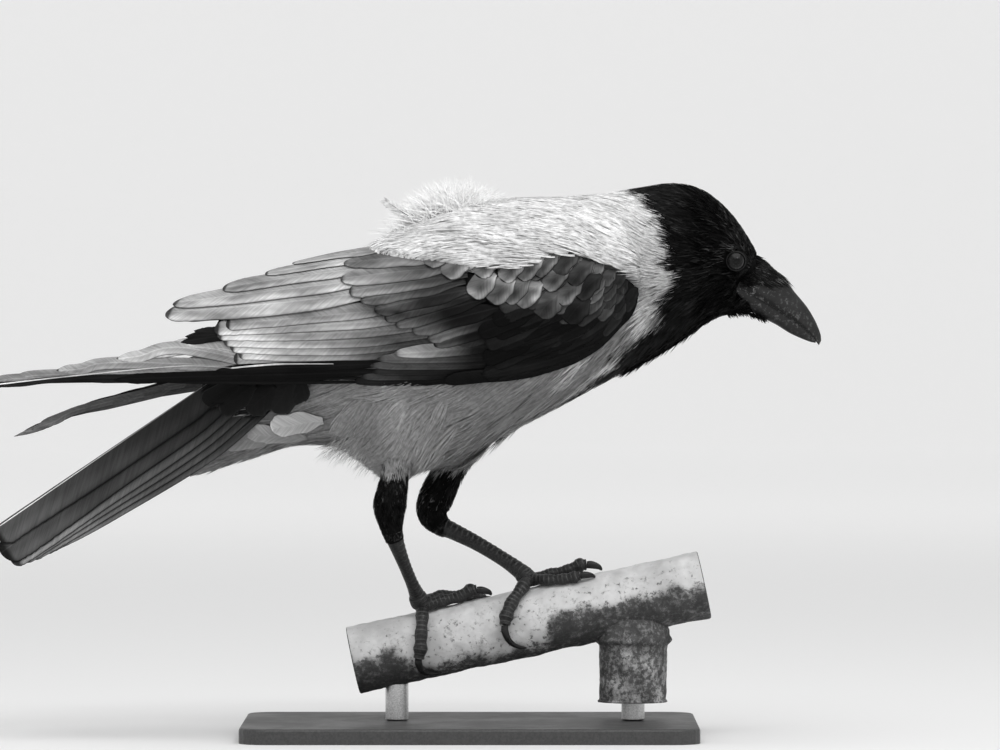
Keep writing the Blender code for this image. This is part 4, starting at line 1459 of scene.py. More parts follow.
    def roots(self, rng: np.random.Generator) -> tuple[Array, Array]:
        """Feather roots in staggered rows, closer together towards the face.

        Args:
            rng: The source of chance.

        Returns:
            The roots' stations and their v.
        """
        stations = np.linspace(0.25, self.form.last - 0.1, 4000)
        step = np.linalg.norm(self.surface.at(stations / self.form.last, np.full(4000, 0.25)).along, axis=1)
        spacing = read(self.spacing_along, stations)
        counted = np.cumsum(step / self.form.last / spacing) * (stations[1] - stations[0])
        rows = np.interp(np.arange(1, int(counted[-1])), counted, stations)
        grid_u = np.rint(rows / self.form.last * (self.form.rows - 1)).astype(int)
        ring = self.surface.points[grid_u]
        girth = np.linalg.norm(np.roll(ring, -1, 1) - ring, axis=2).sum(1)
        number = (girth / read(self.spacing_across, rows)).astype(int)
        station = np.repeat(rows, number)
        first = np.repeat(np.cumsum(number) - number, number)
        odd = np.repeat(np.arange(len(rows)) % 2, number) * 0.5
        v = (np.arange(len(station)) - first + odd) / np.repeat(number, number)
        gap = np.repeat(np.gradient(rows), number)
        station = station + rng.uniform(-0.42, 0.42, len(station)) * gap
        v = v + rng.uniform(-0.38, 0.38, len(station)) / np.repeat(number, number)
        return np.clip(station, 0.1, self.form.last - 0.05), v % 1.0

    def heading_at(self, points: Array) -> Array:
        """Where feathers point, from the table of the lie: each row weighs less with its distance.

        Args:
            points: Places in millimetres.

        Returns:
            One vector for each.
        """
        table = np.array(self.lie)
        away = ((points[:, None, 0] - table[:, 0]) ** 2 + (points[:, None, 2] - table[:, 1]) ** 2)
        weight = np.exp(-away / (2 * self.lie_spread**2)) + 1e-4 / (1 + away / 400.0)
        angle = np.radians((weight * table[:, 2]).sum(1) / weight.sum(1))
        return pack(-np.cos(angle), 0.0, -np.sin(angle))

    def over_wing(self, points: Array) -> Array:
        """Extra height with which the coat's lower edge lies over the top of the wing.

        Args:
            points: Places in millimetres.

        Returns:
            The height at each.
        """
        x, z = points[..., 0], points[..., 2]
        edge = read(self.wing_edge, x)
        within = ease(90.0, 83.0, x) * ease(-62.0, -40.0, x)
        low = ease(22.0, 3.0, z - edge) * ease(-9.5, -5.5, z - edge)
        return within * low * ease(7.0, 20.0, np.abs(points[..., 1])) * self.clearance(points)

    def over_thigh(self, points: Array) -> Array:
        """Extra height with which the belly's feathers stand over the roots of the thighs.

        Args:
            points: Places in millimetres.

        Returns:
            The height at each.
        """
        x, y, z = points[..., 0], points[..., 1], points[..., 2]
        near = 10.0 * hump(x, -37.0, 16.0) * hump(z, 149.0, 15.0) * ease(2.0, -14.0, y)
        far = 5.0 * hump(x, -5.0, 15.0) * hump(z, 150.0, 14.0) * ease(-2.0, 14.0, y)
        return near + far

    def shade_between_locks(self, points: Array) -> Array:
        """Painted shade on the pale back, as a share of its lightness from 0 to 1: dark lines part its locks,
        most of them above the wing.

        Args:
            points: Places in millimetres.

        Returns:
            The share at each.
        """
        heading = unit(self.heading_at(points.reshape(-1, 3))).reshape(points.shape)
        drawn = points - heading * (points * heading).sum(-1, keepdims=True) * 0.9
        x = points[..., 0]
        above = points[..., 2] - read(self.wing_edge, x)
        line = ease(0.7, 1.4, ripple(drawn, 4.2, 81))
        ticks = ease(0.0, 0.6, ripple(drawn, 2.8, 82)) * hump(x, 4.0, 24.0) * hump(above, 7.0, 3.6)
        # painted shade on the strands that lie over the wing's front edge
        rim = 0.35 * ease(-1.0, -5.0, above) * ease(28.0, 40.0, x)
        return (1 - 0.52 * line) * (1 - 0.80 * ticks) * (1 - rim)

    def clearance(self, points: Array) -> Array:
        """How far the wing's outside stands over the body at points, at least 0.

        Args:
            points: Places in millimetres.

        Returns:
            The distance at each.
        """
        x, z = points[..., 0].reshape(-1), points[..., 2].reshape(-1)
        middle, high, wide = self.roof.section(x).T
        lift = np.clip((z - middle) / high, -1, 1)
        out = wide * np.sqrt(1 - lift**2) + 5.0
        gap = np.clip(out - np.abs(points[..., 1].reshape(-1)), 0, 14)
        slope = np.sqrt(np.clip(1 - lift**2, 0.15, 1))
        return (gap * slope).reshape(points.shape[:-1])

    def lay_coat(self, rng: np.random.Generator) -> tuple[Array, Array, Lay]:
        """How the feathers of the whole body lie.

        Args:
            rng: The source of chance.

        Returns:
            The feathers' stations, the points of their roots, and how they lie.
        """
        station, v = self.roots(rng)
        u = station / self.form.last
        count = len(u)
        point = self.surface.at(u, v).point
        x, z = point[:, 0], point[:, 2]
        length = read(self.lengths, station) * rng.uniform(0.8, 1.2, count)
        heading = self.heading_at(point) + rng.normal(0, 0.07, (count, 3))
        width = 1.7 * read(self.spacing_across, station)
        fluff = ease(8.0, 5.0, station)
        back = ease(215.0, 240.0, z)
        lift = rng.uniform(0.0, 0.8, count) * (0.3 + 0.7 * fluff) * (1 - 0.7 * back) - 0.2
        lift = np.where(station > self.smooth_from, rng.uniform(-0.1, 0.3, count), lift)
        loose = rng.random(count) < 0.02 * fluff
        lift = lift + loose * rng.uniform(0.8, 2.0, count)
        tip = point + heading * (0.35 * length)[:, None]
        tone = self.markings.tone(tip) * rng.uniform(0.92, 1.07, count)
        glossy = streaks(point, unit(self.heading_at(point))) * sheen(rng, count) ** 0.5
        glossy = glossy * (1 + 2.4 * hump(x, 143.0, 9.0) * ease(240.0, 252.0, z))
        tone = np.where(tone < 0.01, tone * glossy, tone)
        depth = self.depth_at(station)
        return station, point, Lay(u, v, length, width, heading, depth, lift, tone, np.zeros(count))

    def left_out(self, point: Array, tone: Array) -> Array:
        """Which feathers are left out: behind the wing, at the eye, at the bill and under the tail.

        Args:
            point: The points of the roots.
            tone: The feathers' lightness.

        Returns:
            True for each that is left out.
        """
        x, y, z = point.T
        on_wing = (z < read(self.wing_edge, x) - 1.0) & (z > read(self.wing_under, x) + 6.0)
        at_eye = (np.hypot(x - self.eye[0], z - self.eye[2]) < 5.3) & (np.abs(y) > 8)
        coverts = np.hypot((x + 91.0) / 13.0, (z - 168.0) / 10.0) < 1
        coverts = coverts | ((tone < 0.05) & (x > -104) & (x < -55) & (z < 190))
        return ((x > -150) & (x < 86) & on_wing) | coverts | at_eye | Bill().covers(point)

    def zones(self, station: Array, point: Array) -> dict[Zone, Array]:
        """The zones that the feathers belong to.

        Args:
            station: The feathers' stations.
            point: The points of their roots.

        Returns:
            For each zone, true for each feather in it.
        """
        rump, belly, trunk, neck = self.zone_ends
        above = point[:, 2] > read(self.wing_edge, point[:, 0]) - 2.0
        return {
            Zone.HEAD: station > neck,
            Zone.NECK: (station > trunk) & (station <= neck),
            Zone.MANTLE: (station > rump) & (station <= trunk) & above,
            Zone.BREAST: (station > belly) & (station <= trunk) & ~above,
            Zone.BELLY: (station > rump) & (station <= belly) & ~above,
            Zone.RUMP: station <= rump,
        }

    def build_coat(self) -> None:
        """All body feathers, in pieces by zone."""
        rng = np.random.default_rng(self.seed)
        station, point, lay = self.lay_coat(rng)
        keep = ~self.left_out(point, lay.tone)
        raised = {Zone.HEAD: None, Zone.RUMP: None, Zone.BELLY: self.over_thigh}
        extras = {Zone.MANTLE: (self.add_tuft,), Zone.BELLY: (self.add_fringe, self.add_skirt),
            Zone.RUMP: (self.add_tail_coverts,)}
        for zone, mask in self.zones(station, point).items():
            piece = Piece()
            cut = CUTS[zone]
            shade = self.shade_between_locks if zone is Zone.MANTLE else None
            add_strands(piece, lay_strands(self.surface, lay.only(mask & keep), cut.strands, cut.breadth,
                rng, raised.get(zone, self.over_wing), cut.uneven, shade))
            for add in extras.get(zone, ()):
                add(piece, rng)
            slot = "black_plumage" if zone in (Zone.HEAD, Zone.RUMP) else "grey_plumage"
            finish = BLACK_PLUMAGE if zone is Zone.HEAD else PLUMAGE
            piece.finish(zone.value, finish.material(), slot)

    def place_near(self, route: Array) -> Array:
        """The body surface's u and v nearest to places given as x and height, on its right side.

        Args:
            route: Rows of x and height.

        Returns:
            Rows of u and v.
        """
        grid = self.surface.points
        rows, columns = grid.shape[:2]
        x, z = (place[:, None, None] for place in route.T)
        away = (grid[None, ..., 0] - x) ** 2 + (grid[None, ..., 2] - z) ** 2
        away = away + 1e6 * (grid[None, ..., 1] > 0)  # the left side is out of reach
        best = away.reshape(len(route), -1).argmin(axis=1)
        return pack((best // columns) / (rows - 1), (best % columns) / columns)

    def build_undertail(self) -> None:
        """Broad round coverts at the root of the tail on both sides: black ones above, pale ones below."""
        rows = (  # root, tip, half width, lightness
            ((-112.0, 158.0), (-141.0, 150.5), 4.6, 0.26), ((-100.0, 156.0), (-128.0, 153.0), 5.4, 0.24),
            ((-84.0, 156.0), (-116.0, 157.5), 5.6, 0.30), ((-118.0, 184.0), (-139.0, 173.0), 6.0, 0.006),
            ((-110.0, 183.0), (-129.0, 170.2), 6.2, 0.007), ((-100.0, 183.0), (-114.0, 168.4), 6.8, 0.008),
            ((-76.0, 165.5), (-103.2, 161.0), 6.4, 0.46), ((-90.0, 186.0), (-102.0, 169.6), 7.6, 0.010),
            ((-84.0, 186.0), (-91.0, 174.0), 5.6, 0.008),
        )
        rng = np.random.default_rng(self.seed + 1)
        piece = Piece()
        for number, (root, tip, half, tone) in enumerate(rows):
            route = np.array(root) + (np.array(tip) - root) * np.linspace(0, 1, 7)[:, None]
            # the rims of these get a painted highlight, strongest on the black ones
            feather = Feather((root, tip), half, half, 0.5 + 0.12 * number, tone, tone * 0.8, blunt=1.1,
                taper=2.0, rachis=0.1, edge=-0.5 if tone > 0.1 else -2.2, edge_highlight=0.15, tilt=0.3, dome=0.5,
                rough=0.04)
            vane_shell(piece, self.surface, self.place_near(route), feather, number, 3, rng)
        piece.mirror().finish("coverts_undertail_left", VANES.material(), "black_plumage")
        piece.finish("coverts_undertail_right", VANES.material(), "black_plumage")

    def add_tuft(self, piece: Piece, rng: np.random.Generator, number: int = 3800) -> None:
        """The pale down that the wind has lifted from the back.

        Args:
            piece: What they are added to.
            rng: The source of chance.
            number: How many there are.
        """
        spread = rng.normal(0, 1, (number, 2))
        roots = pack(-8 + 12 * spread[:, 0], -4 + 6 * spread[:, 1],
            271.5 - 0.012 * (12 * spread[:, 0]) ** 2 + 1.6 * spread[:, 0])
        sweep = rng.normal(-0.1, 0.8, number)
        headings = pack(sweep, rng.normal(-0.1, 0.3, number), rng.uniform(0.6, 1.1, number))
        lengths = rng.uniform(8, 23, number) * (1 - 0.12 * np.abs(sweep)) * np.exp(-0.12 * spread[:, 0] ** 2)
        droop = pack(sweep * 6.0, rng.normal(0, 1.0, number), -rng.uniform(0, 4, number))
        patch = pack(rng.uniform(0.0, 0.04, number) + 0.01, rng.uniform(0.32, 0.40, number))
        add_strands(piece, free_strands(roots, headings, lengths, droop, 0.42,
            rng.uniform(0.92, 0.98, number), patch, rng))
        self.add_loose_feather(piece, rng)

    def add_loose_feather(self, piece: Piece, rng: np.random.Generator, barbs_each: int = 110) -> None:
        """One small feather that stands off the back: barbs at a slant on both sides of a dark shaft.

        Args:
            piece: What they are added to.
            rng: The source of chance.
            barbs_each: Barbs on each side.
        """
        root, tip = np.array([-26.0, -8.0, 266.0]), np.array([-44.5, -10.0, 278.5])
        way = unit(tip - root)
        over = unit(np.cross(way, (0.0, 1.0, 0.0)))
        share = np.linspace(0.06, 1.0, barbs_each)[:, None]
        on_shaft = root + (tip - root) * share
        length = 5.2 * np.sqrt(np.clip(1 - (1.15 * share[:, 0] - 0.25) ** 2, 0.04, 1))
        patch = pack(0.03, 0.30 + 0.01 * share[:, 0])
        for side, wide in ((1.0, 1.0), (-1.0, 0.8)):
            headings = way * 1.2 + over * side + rng.normal(0, 0.06, (barbs_each, 3))
            add_strands(piece, free_strands(on_shaft, headings, length * wide, way * 0.8 + 0 * share, 0.5,
                rng.uniform(0.75, 0.92, barbs_each), patch, rng))
        three = np.ones((3, 1))  # the shaft is three strands turned by chance
        add_strands(piece, free_strands(root * three, way * three, np.full(3, 21.0), 0 * way * three, 0.7,
            np.full(3, 0.06), patch[:3] - (0.0, 0.006), rng))

    def add_skirt(self, piece: Piece, rng: np.random.Generator, number: int = 240) -> None:
        """Belly feathers that hang over the tops of the thighs, on both sides.

        Args:
            piece: What they are added to.
            rng: The source of chance.
            number: How many there are.
        """
        for side, (first, last) in ((-1, (-54.0, -18.0)), (1, (-30.0, 14.0))):
            across = rng.normal((first + last) / 2, (last - first) / 3.2, number)
            route = pack(across, rng.uniform(148.0, 176.0, number))
            u, v = self.place_near(route).T
            v = v if side < 0 else -v % 1.0
            heading = pack(rng.uniform(-0.75, -0.35, number), 0.0, rng.uniform(-0.95, -0.7, number))
            point = self.surface.at(u, v).point
            tone = self.markings.tone(point) * rng.uniform(0.92, 1.07, number)
            lay = Lay(u, v, rng.uniform(15.0, 26.0, number), np.full(number, 6.0), heading,
                np.full(number, 1.5), rng.uniform(1.2, 2.8, number), tone, rng.uniform(0.3, 1.6, number))
            add_strands(piece, lay_strands(self.surface, lay, 10, 0.62, rng, self.over_thigh, 0.6))

    def add_tail_coverts(self, piece: Piece, rng: np.random.Generator, number: int = 520) -> None:
        """Soft ends of the rear coverts, which run out along the underside of the tail.

        Args:
            piece: What they are added to.
            rng: The source of chance.
            number: How many there are.
        """
        down = rng.uniform(0.0, 1.0, number)
        roots = pack(-137.0 - 6.5 * down, rng.normal(1.0, 2.0, number), 174.0 - 35.0 * down)
        headings = pack(-rng.uniform(0.8, 1.0, number), rng.normal(0.04, 0.06, number),
            -rng.uniform(0.50, 0.64, number))
        lengths = (19.0 - 11.0 * down) * rng.uniform(0.6, 1.15, number)
        u, v = self.place_near(roots[:, [0, 2]]).T
        patch = pack(np.where(roots[:, 1] < 0, v, -v) % 1.0, u)
        tone = self.markings.tone(roots) * rng.uniform(0.85, 1.1, number)
        add_strands(piece, free_strands(roots, headings, lengths, np.zeros((number, 3)), 0.9, tone,
            patch, rng))

    def add_fringe(self, piece: Piece, rng: np.random.Generator, number: int = 420) -> None:
        """Fine ends that hang from the belly behind the thighs.

        Args:
            piece: What they are added to.
            rng: The source of chance.
            number: How many there are.
        """
        x = rng.uniform(-70, -30, number)
        y = np.abs(rng.normal(0, 16, number)) - 22
        bottom = np.interp(x, [-90, -62.5, -37.5, -20], [151, 149, 139.5, 140.5]) + 0.012 * y**2 + 1.5
        roots = pack(x, y, bottom)
        headings = pack(rng.uniform(-1.3, -0.4, number), rng.normal(0, 0.25, number),
            -rng.uniform(0.5, 1.0, number))
        lengths = rng.uniform(6, 15, number)
        droop = pack(0.0, rng.normal(0, 0.8, number), -rng.uniform(0, 3, number))
        patch = pack(0.5 + 0.001 * y, (x + 145) / 300 * 0.5)
        add_strands(piece, free_strands(roots, headings, lengths, droop, 0.2,
            rng.uniform(0.45, 0.7, number), patch, rng))


@dataclass
class Eye:
    """One eye: a ball with a slightly domed clear front."""

    side: str
    radius: float = 6.0
    iris_radius: float = 4.4
    pupil_radius: float = 2.1
    reflection_radius: float = 3.75

    def build(self) -> None:
        """A ball whose rings run from the back pole to the front pole, where it bulges a little."""
        centre = middle_of(f"eye_{self.side}")
        sign = -1.0 if self.side == "right" else 1.0
        polar = np.linspace(0.02, np.pi - 0.02, 64)[:, None]
        angle = turns(72)[None]
        out = -np.cos(polar)
        radius = self.radius * np.sin(polar) * np.ones_like(angle)
        bulge = 0.35 * hump(np.sin(polar), 0.0, 0.45) * (out > 0)
        points = pack(centre[0] + radius * np.cos(angle), centre[1] + sign * (self.radius * out + bulge),
            centre[2] + radius * np.sin(angle))
        iris = ease(self.pupil_radius - 0.15, self.pupil_radius + 0.15, radius)
        iris = iris * (0.16 - 0.10 * ease(self.iris_radius - 0.5, self.iris_radius + 0.1, radius)) * (out > 0)
        # painted reflection: a pale crescent round the lower front of the iris
        reflection_side = ease(-0.2, 1.0, (np.cos(angle) - np.sin(angle)) / math.sqrt(2))
        iris = iris + hump(radius, self.reflection_radius, 0.24) * reflection_side * (out > 0)
        piece = Piece()
        piece.add(points, shell(*points.shape[:2]), turn=sign > 0, iris=iris)
        piece.finish(f"eyeball_{self.side}", EYE_GLASS.material(), "eye", f"eye_{self.side}")


@dataclass
class Bill:
    """The closed bill and the bristles over its root.

    Rows: ridge (x, z), mouth line (x, z), lower edge (x, z) and half width.
    """

    sections: tuple[tuple[float, ...], ...] = (
        (147.5, 250.0, 138.5, 233.5, 135.5, 228.0, 12.6),
        (153.3, 245.7, 145.5, 230.0, 142.5, 224.5, 10.6),
        (157.5, 241.6, 150.5, 226.9, 147.2, 220.6, 8.8),
        (164.0, 236.6, 157.0, 223.2, 153.5, 216.8, 7.0),
        (169.4, 230.1, 163.2, 219.2, 159.6, 213.6, 5.8),
        (175.1, 223.2, 169.3, 215.3, 166.0, 209.6, 4.5),
        (179.2, 216.4, 174.3, 211.2, 172.0, 206.8, 3.2),
        (181.6, 211.0, 178.2, 207.4, 176.9, 204.9, 2.0),
    )
    tip: tuple[float, ...] = (182.6, 205.6, 181.4, 203.2, 0.9)
    lower_tip: tuple[float, ...] = (180.2, 206.0, 179.6, 204.4, 0.9)
    forward: tuple[float, float] = (0.836, -0.55)  # x and z of the way that the bill points
    slit: float = 0.05
    overlap: float = 0.7
    seed: int = 77

    def covers(self, points: Array) -> Array:
        """Whether points of the head lie where the bill comes out of it.

        Args:
            points: Places in millimetres.

        Returns:
            True for each that does.
        """
        root_x, root_z = self.sections[0][2:4]
        ahead = (points[..., 0] - root_x) * self.forward[0] + (points[..., 2] - root_z) * self.forward[1]
        lower = np.interp(points[..., 0], [138.4, 152.0, 160.0], [233.9, 218.2, 212.0])
        return (ahead > 0.5) & (points[..., 2] > lower)

    def half(self, upper: bool, rows: int = 64, sides: int = 41) -> Array:
        """One mandible's sections: a dome of |cos|^p over a flat mouth line.

        Args:
            upper: Whether it is the upper one.
            rows: Sections along it.
            sides: Points in a section.

        Returns:
            The rings of points.
        """
        keys = through(self.sections, np.linspace(0, len(self.sections) - 1, rows))
        ridge, mouth, lower = keys[:, None, 0:2], keys[:, None, 2:4], keys[:, None, 4:6]
        width = keys[:, 6]
        up = unit(ridge - lower)
        angle = np.linspace(-np.pi / 2, np.pi / 2, sides)
        across = np.sin(angle)
        if upper:
            rise = np.abs(np.cos(angle)) ** 0.85
            line = mouth + up * self.slit + (ridge - mouth) * rise[None, :, None]
        else:
            width = width * 0.90
            rise = np.abs(np.cos(angle)) ** 0.8
            inner = mouth + up * self.overlap
            line = inner + (lower - inner) * rise[None, :, None]
        rings = pack(line[..., 0], width[:, None] * across, line[..., 1])
        if upper:
            tx, tz, ex, ez, half = self.tip
            share = np.abs(np.cos(angle)) ** 0.85
            hook = pack(ex + (tx - ex) * share, half * across, ez + (tz - ez) * share)
            middle = (rings[-1] + hook) / 2 + np.array([0.35, 0, -0.1]) * share[:, None]
            return np.concatenate([rings, middle[None], hook[None]])
        tx, tz, ex, ez, half = self.lower_tip
        end = pack(tx + (ex - tx) * rise, half * across, tz + (ez - tz) * rise)
        return np.concatenate([rings, end[None]])

    def build(self) -> None:
        """Both mandibles, each closed by its flat side and its two ends."""
        for upper, name in ((True, "upper"), (False, "lower")):
            rings = self.half(upper)
            along = np.linspace(0, 1, len(rings))[:, None]
            off_line = 1 - np.abs(np.linspace(-1, 1, rings.shape[1]))[None]
            # painted shade along the mouth line, where the mandibles meet
            crease = hump(off_line, 0.0, 0.07) + 0 * along
            worn = (0.35 + 0.65 * hump(along, 0.08, 0.16)) * (0.35 + 0.65 * hump(off_line, 0.16, 0.22))
            piece = Piece()
            piece.add(rings, shell(*rings.shape[:2]), turn=upper, worn=worn, crease=crease)
            piece.finish(f"mandible_{name}", BILL_HORN.material(), "bill_horn", f"bill_{name}", sharp=50)

    def build_bristles(self, markings: Markings) -> None:
        """All bristles round the bill, and the beard, as one piece.

        Args:
            markings: The bird's markings.
        """
        rng = np.random.default_rng(self.seed)
        piece = Piece()
        self.add_ridge_bristles(piece, markings, rng)
        self.add_root_bristles(piece, markings, rng)
        self.add_chin_bristles(piece, markings, rng)
        self.add_beard(piece, markings, rng)
        piece.finish("bristles", BLACK_PLUMAGE.material(), "black_plumage")

    def add_ridge_bristles(self, piece: Piece, markings: Markings, rng: np.random.Generator,
            number: int = 3000) -> None:
        """Stiff bristles that lie forward over the nostrils and the ridge.

        Args:
            piece: What they are added to.
            markings: The bird's markings.
            rng: The source of chance.
            number: How many there are.
        """
        surface = Surface(self.half(True)[:, ::-1], closed=False)
        u = rng.uniform(0.0, 1.0, number) ** 1.5 * 0.22
        v = 0.5 + rng.uniform(-0.5, 0.5, number) * (0.98 - 1.3 * u)
        ridge = 1 - np.abs(2 * v - 1)
        root = surface.at(u, v)
        splay = (0.5 - v) * 0.45 + rng.normal(0, 0.08, number)
        heading = unit(root.along) + unit(root.around) * splay[:, None]
        length = rng.uniform(9.0, 15.5, number) * (0.50 + 0.55 * ease(0.1, 0.6, ridge))
        tone = (3.2 * markings.black * sheen(rng, number) ** 1.5).clip(0.0, 0.11)
        lay = Lay(u, v, length, np.full(number, 1.0), heading, np.full(number, 0.1),
            rng.uniform(0.2, 1.3, number), tone, np.full(number, 0.30))
        add_strands(piece, lay_strands(surface, lay, 2, 0.42, rng))

    def add_root_bristles(self, piece: Piece, markings: Markings, rng: np.random.Generator,
            number: int = 1500) -> None:
        """Bristles that start in the feathers round the bill's root.

        Args:
            piece: What they are added to.
            markings: The bird's markings.
            rng: The source of chance.
            number: How many there are.
        """
        first = self.half(True)[0]
        way = np.array([self.forward[0], 0, self.forward[1]])
        pick = rng.uniform(0.04, 0.96, number) * (len(first) - 1)
        start = through(first, pick) - way * rng.uniform(1.5, 5.5, number)[:, None]
        outward = unit(through(first, pick) - first.mean(axis=0))
        start = start + outward * rng.uniform(-0.6, 0.5, number)[:, None]
        headings = way - 0.10 * outward + rng.normal(0, 0.07, (number, 3))
        add_strands(piece, free_strands(start, headings, rng.uniform(6.0, 11.0, number), outward * 0.8,
            0.42, (markings.black * sheen(rng, number)).clip(0, 0.03), pack(pick / len(first), 0.97), rng))

    def add_chin_bristles(self, piece: Piece, markings: Markings, rng: np.random.Generator,
            number: int = 700) -> None:
        """Short bristles under the chin.

        Args:
            piece: What they are added to.
            markings: The bird's markings.
            rng: The source of chance.
            number: How many there are.
        """
        x = rng.uniform(133.0, 153.0, number)
        y = rng.uniform(-1, 1, number) * 6.5
        bottom = np.interp(x, [128, 134, 142, 153], [217.4, 219.6, 220.6, 216.8]) + 0.03 * y**2 + 0.6
        headings = pack(rng.uniform(0.2, 1.0, number), rng.normal(0, 0.2, number),
            -rng.uniform(0.35, 0.9, number))
        patch = pack(0.5 + 0.005 * y, 0.9 + (x - 134) * 0.002)
        add_strands(piece, free_strands(pack(x, y, bottom), headings, rng.uniform(2.0, 4.6, number),
            np.zeros((number, 3)), 0.3, np.full(number, markings.black), patch, rng))

    def add_beard(self, piece: Piece, markings: Markings, rng: np.random.Generator,
            number: int = 900) -> None:
        """Loose narrow feathers that stand off the throat.

        Args:
            piece: What they are added to.
            markings: The bird's markings.
            rng: The source of chance.
            number: How many there are.
        """
        x = rng.uniform(84.0, 131.0, number)
        y = rng.normal(0, 5.0, number)
        low = np.interp(x, [74, 96, 114, 127.5, 138], [185.5, 197, 208.5, 217, 219.7]) + 0.02 * y**2 + 1.0
        headings = pack(-rng.uniform(0.7, 1.1, number), rng.normal(0, 0.12, number),
            -rng.uniform(0.55, 0.95, number))
        lengths = rng.uniform(3.0, 9.0, number) * ease(134.0, 112.0, x) + 1.5
        droop = pack(-rng.uniform(0.0, 1.5, number), 0.0, rng.normal(0, 0.6, number))
        patch = pack(0.5 + 0.005 * y, 0.55 + (x - 84) * 0.005)
        tone = (markings.black * sheen(rng, number)).clip(0, 0.03)
        add_strands(piece, free_strands(pack(x, y, low), headings, lengths, droop, 0.5, tone, patch, rng))


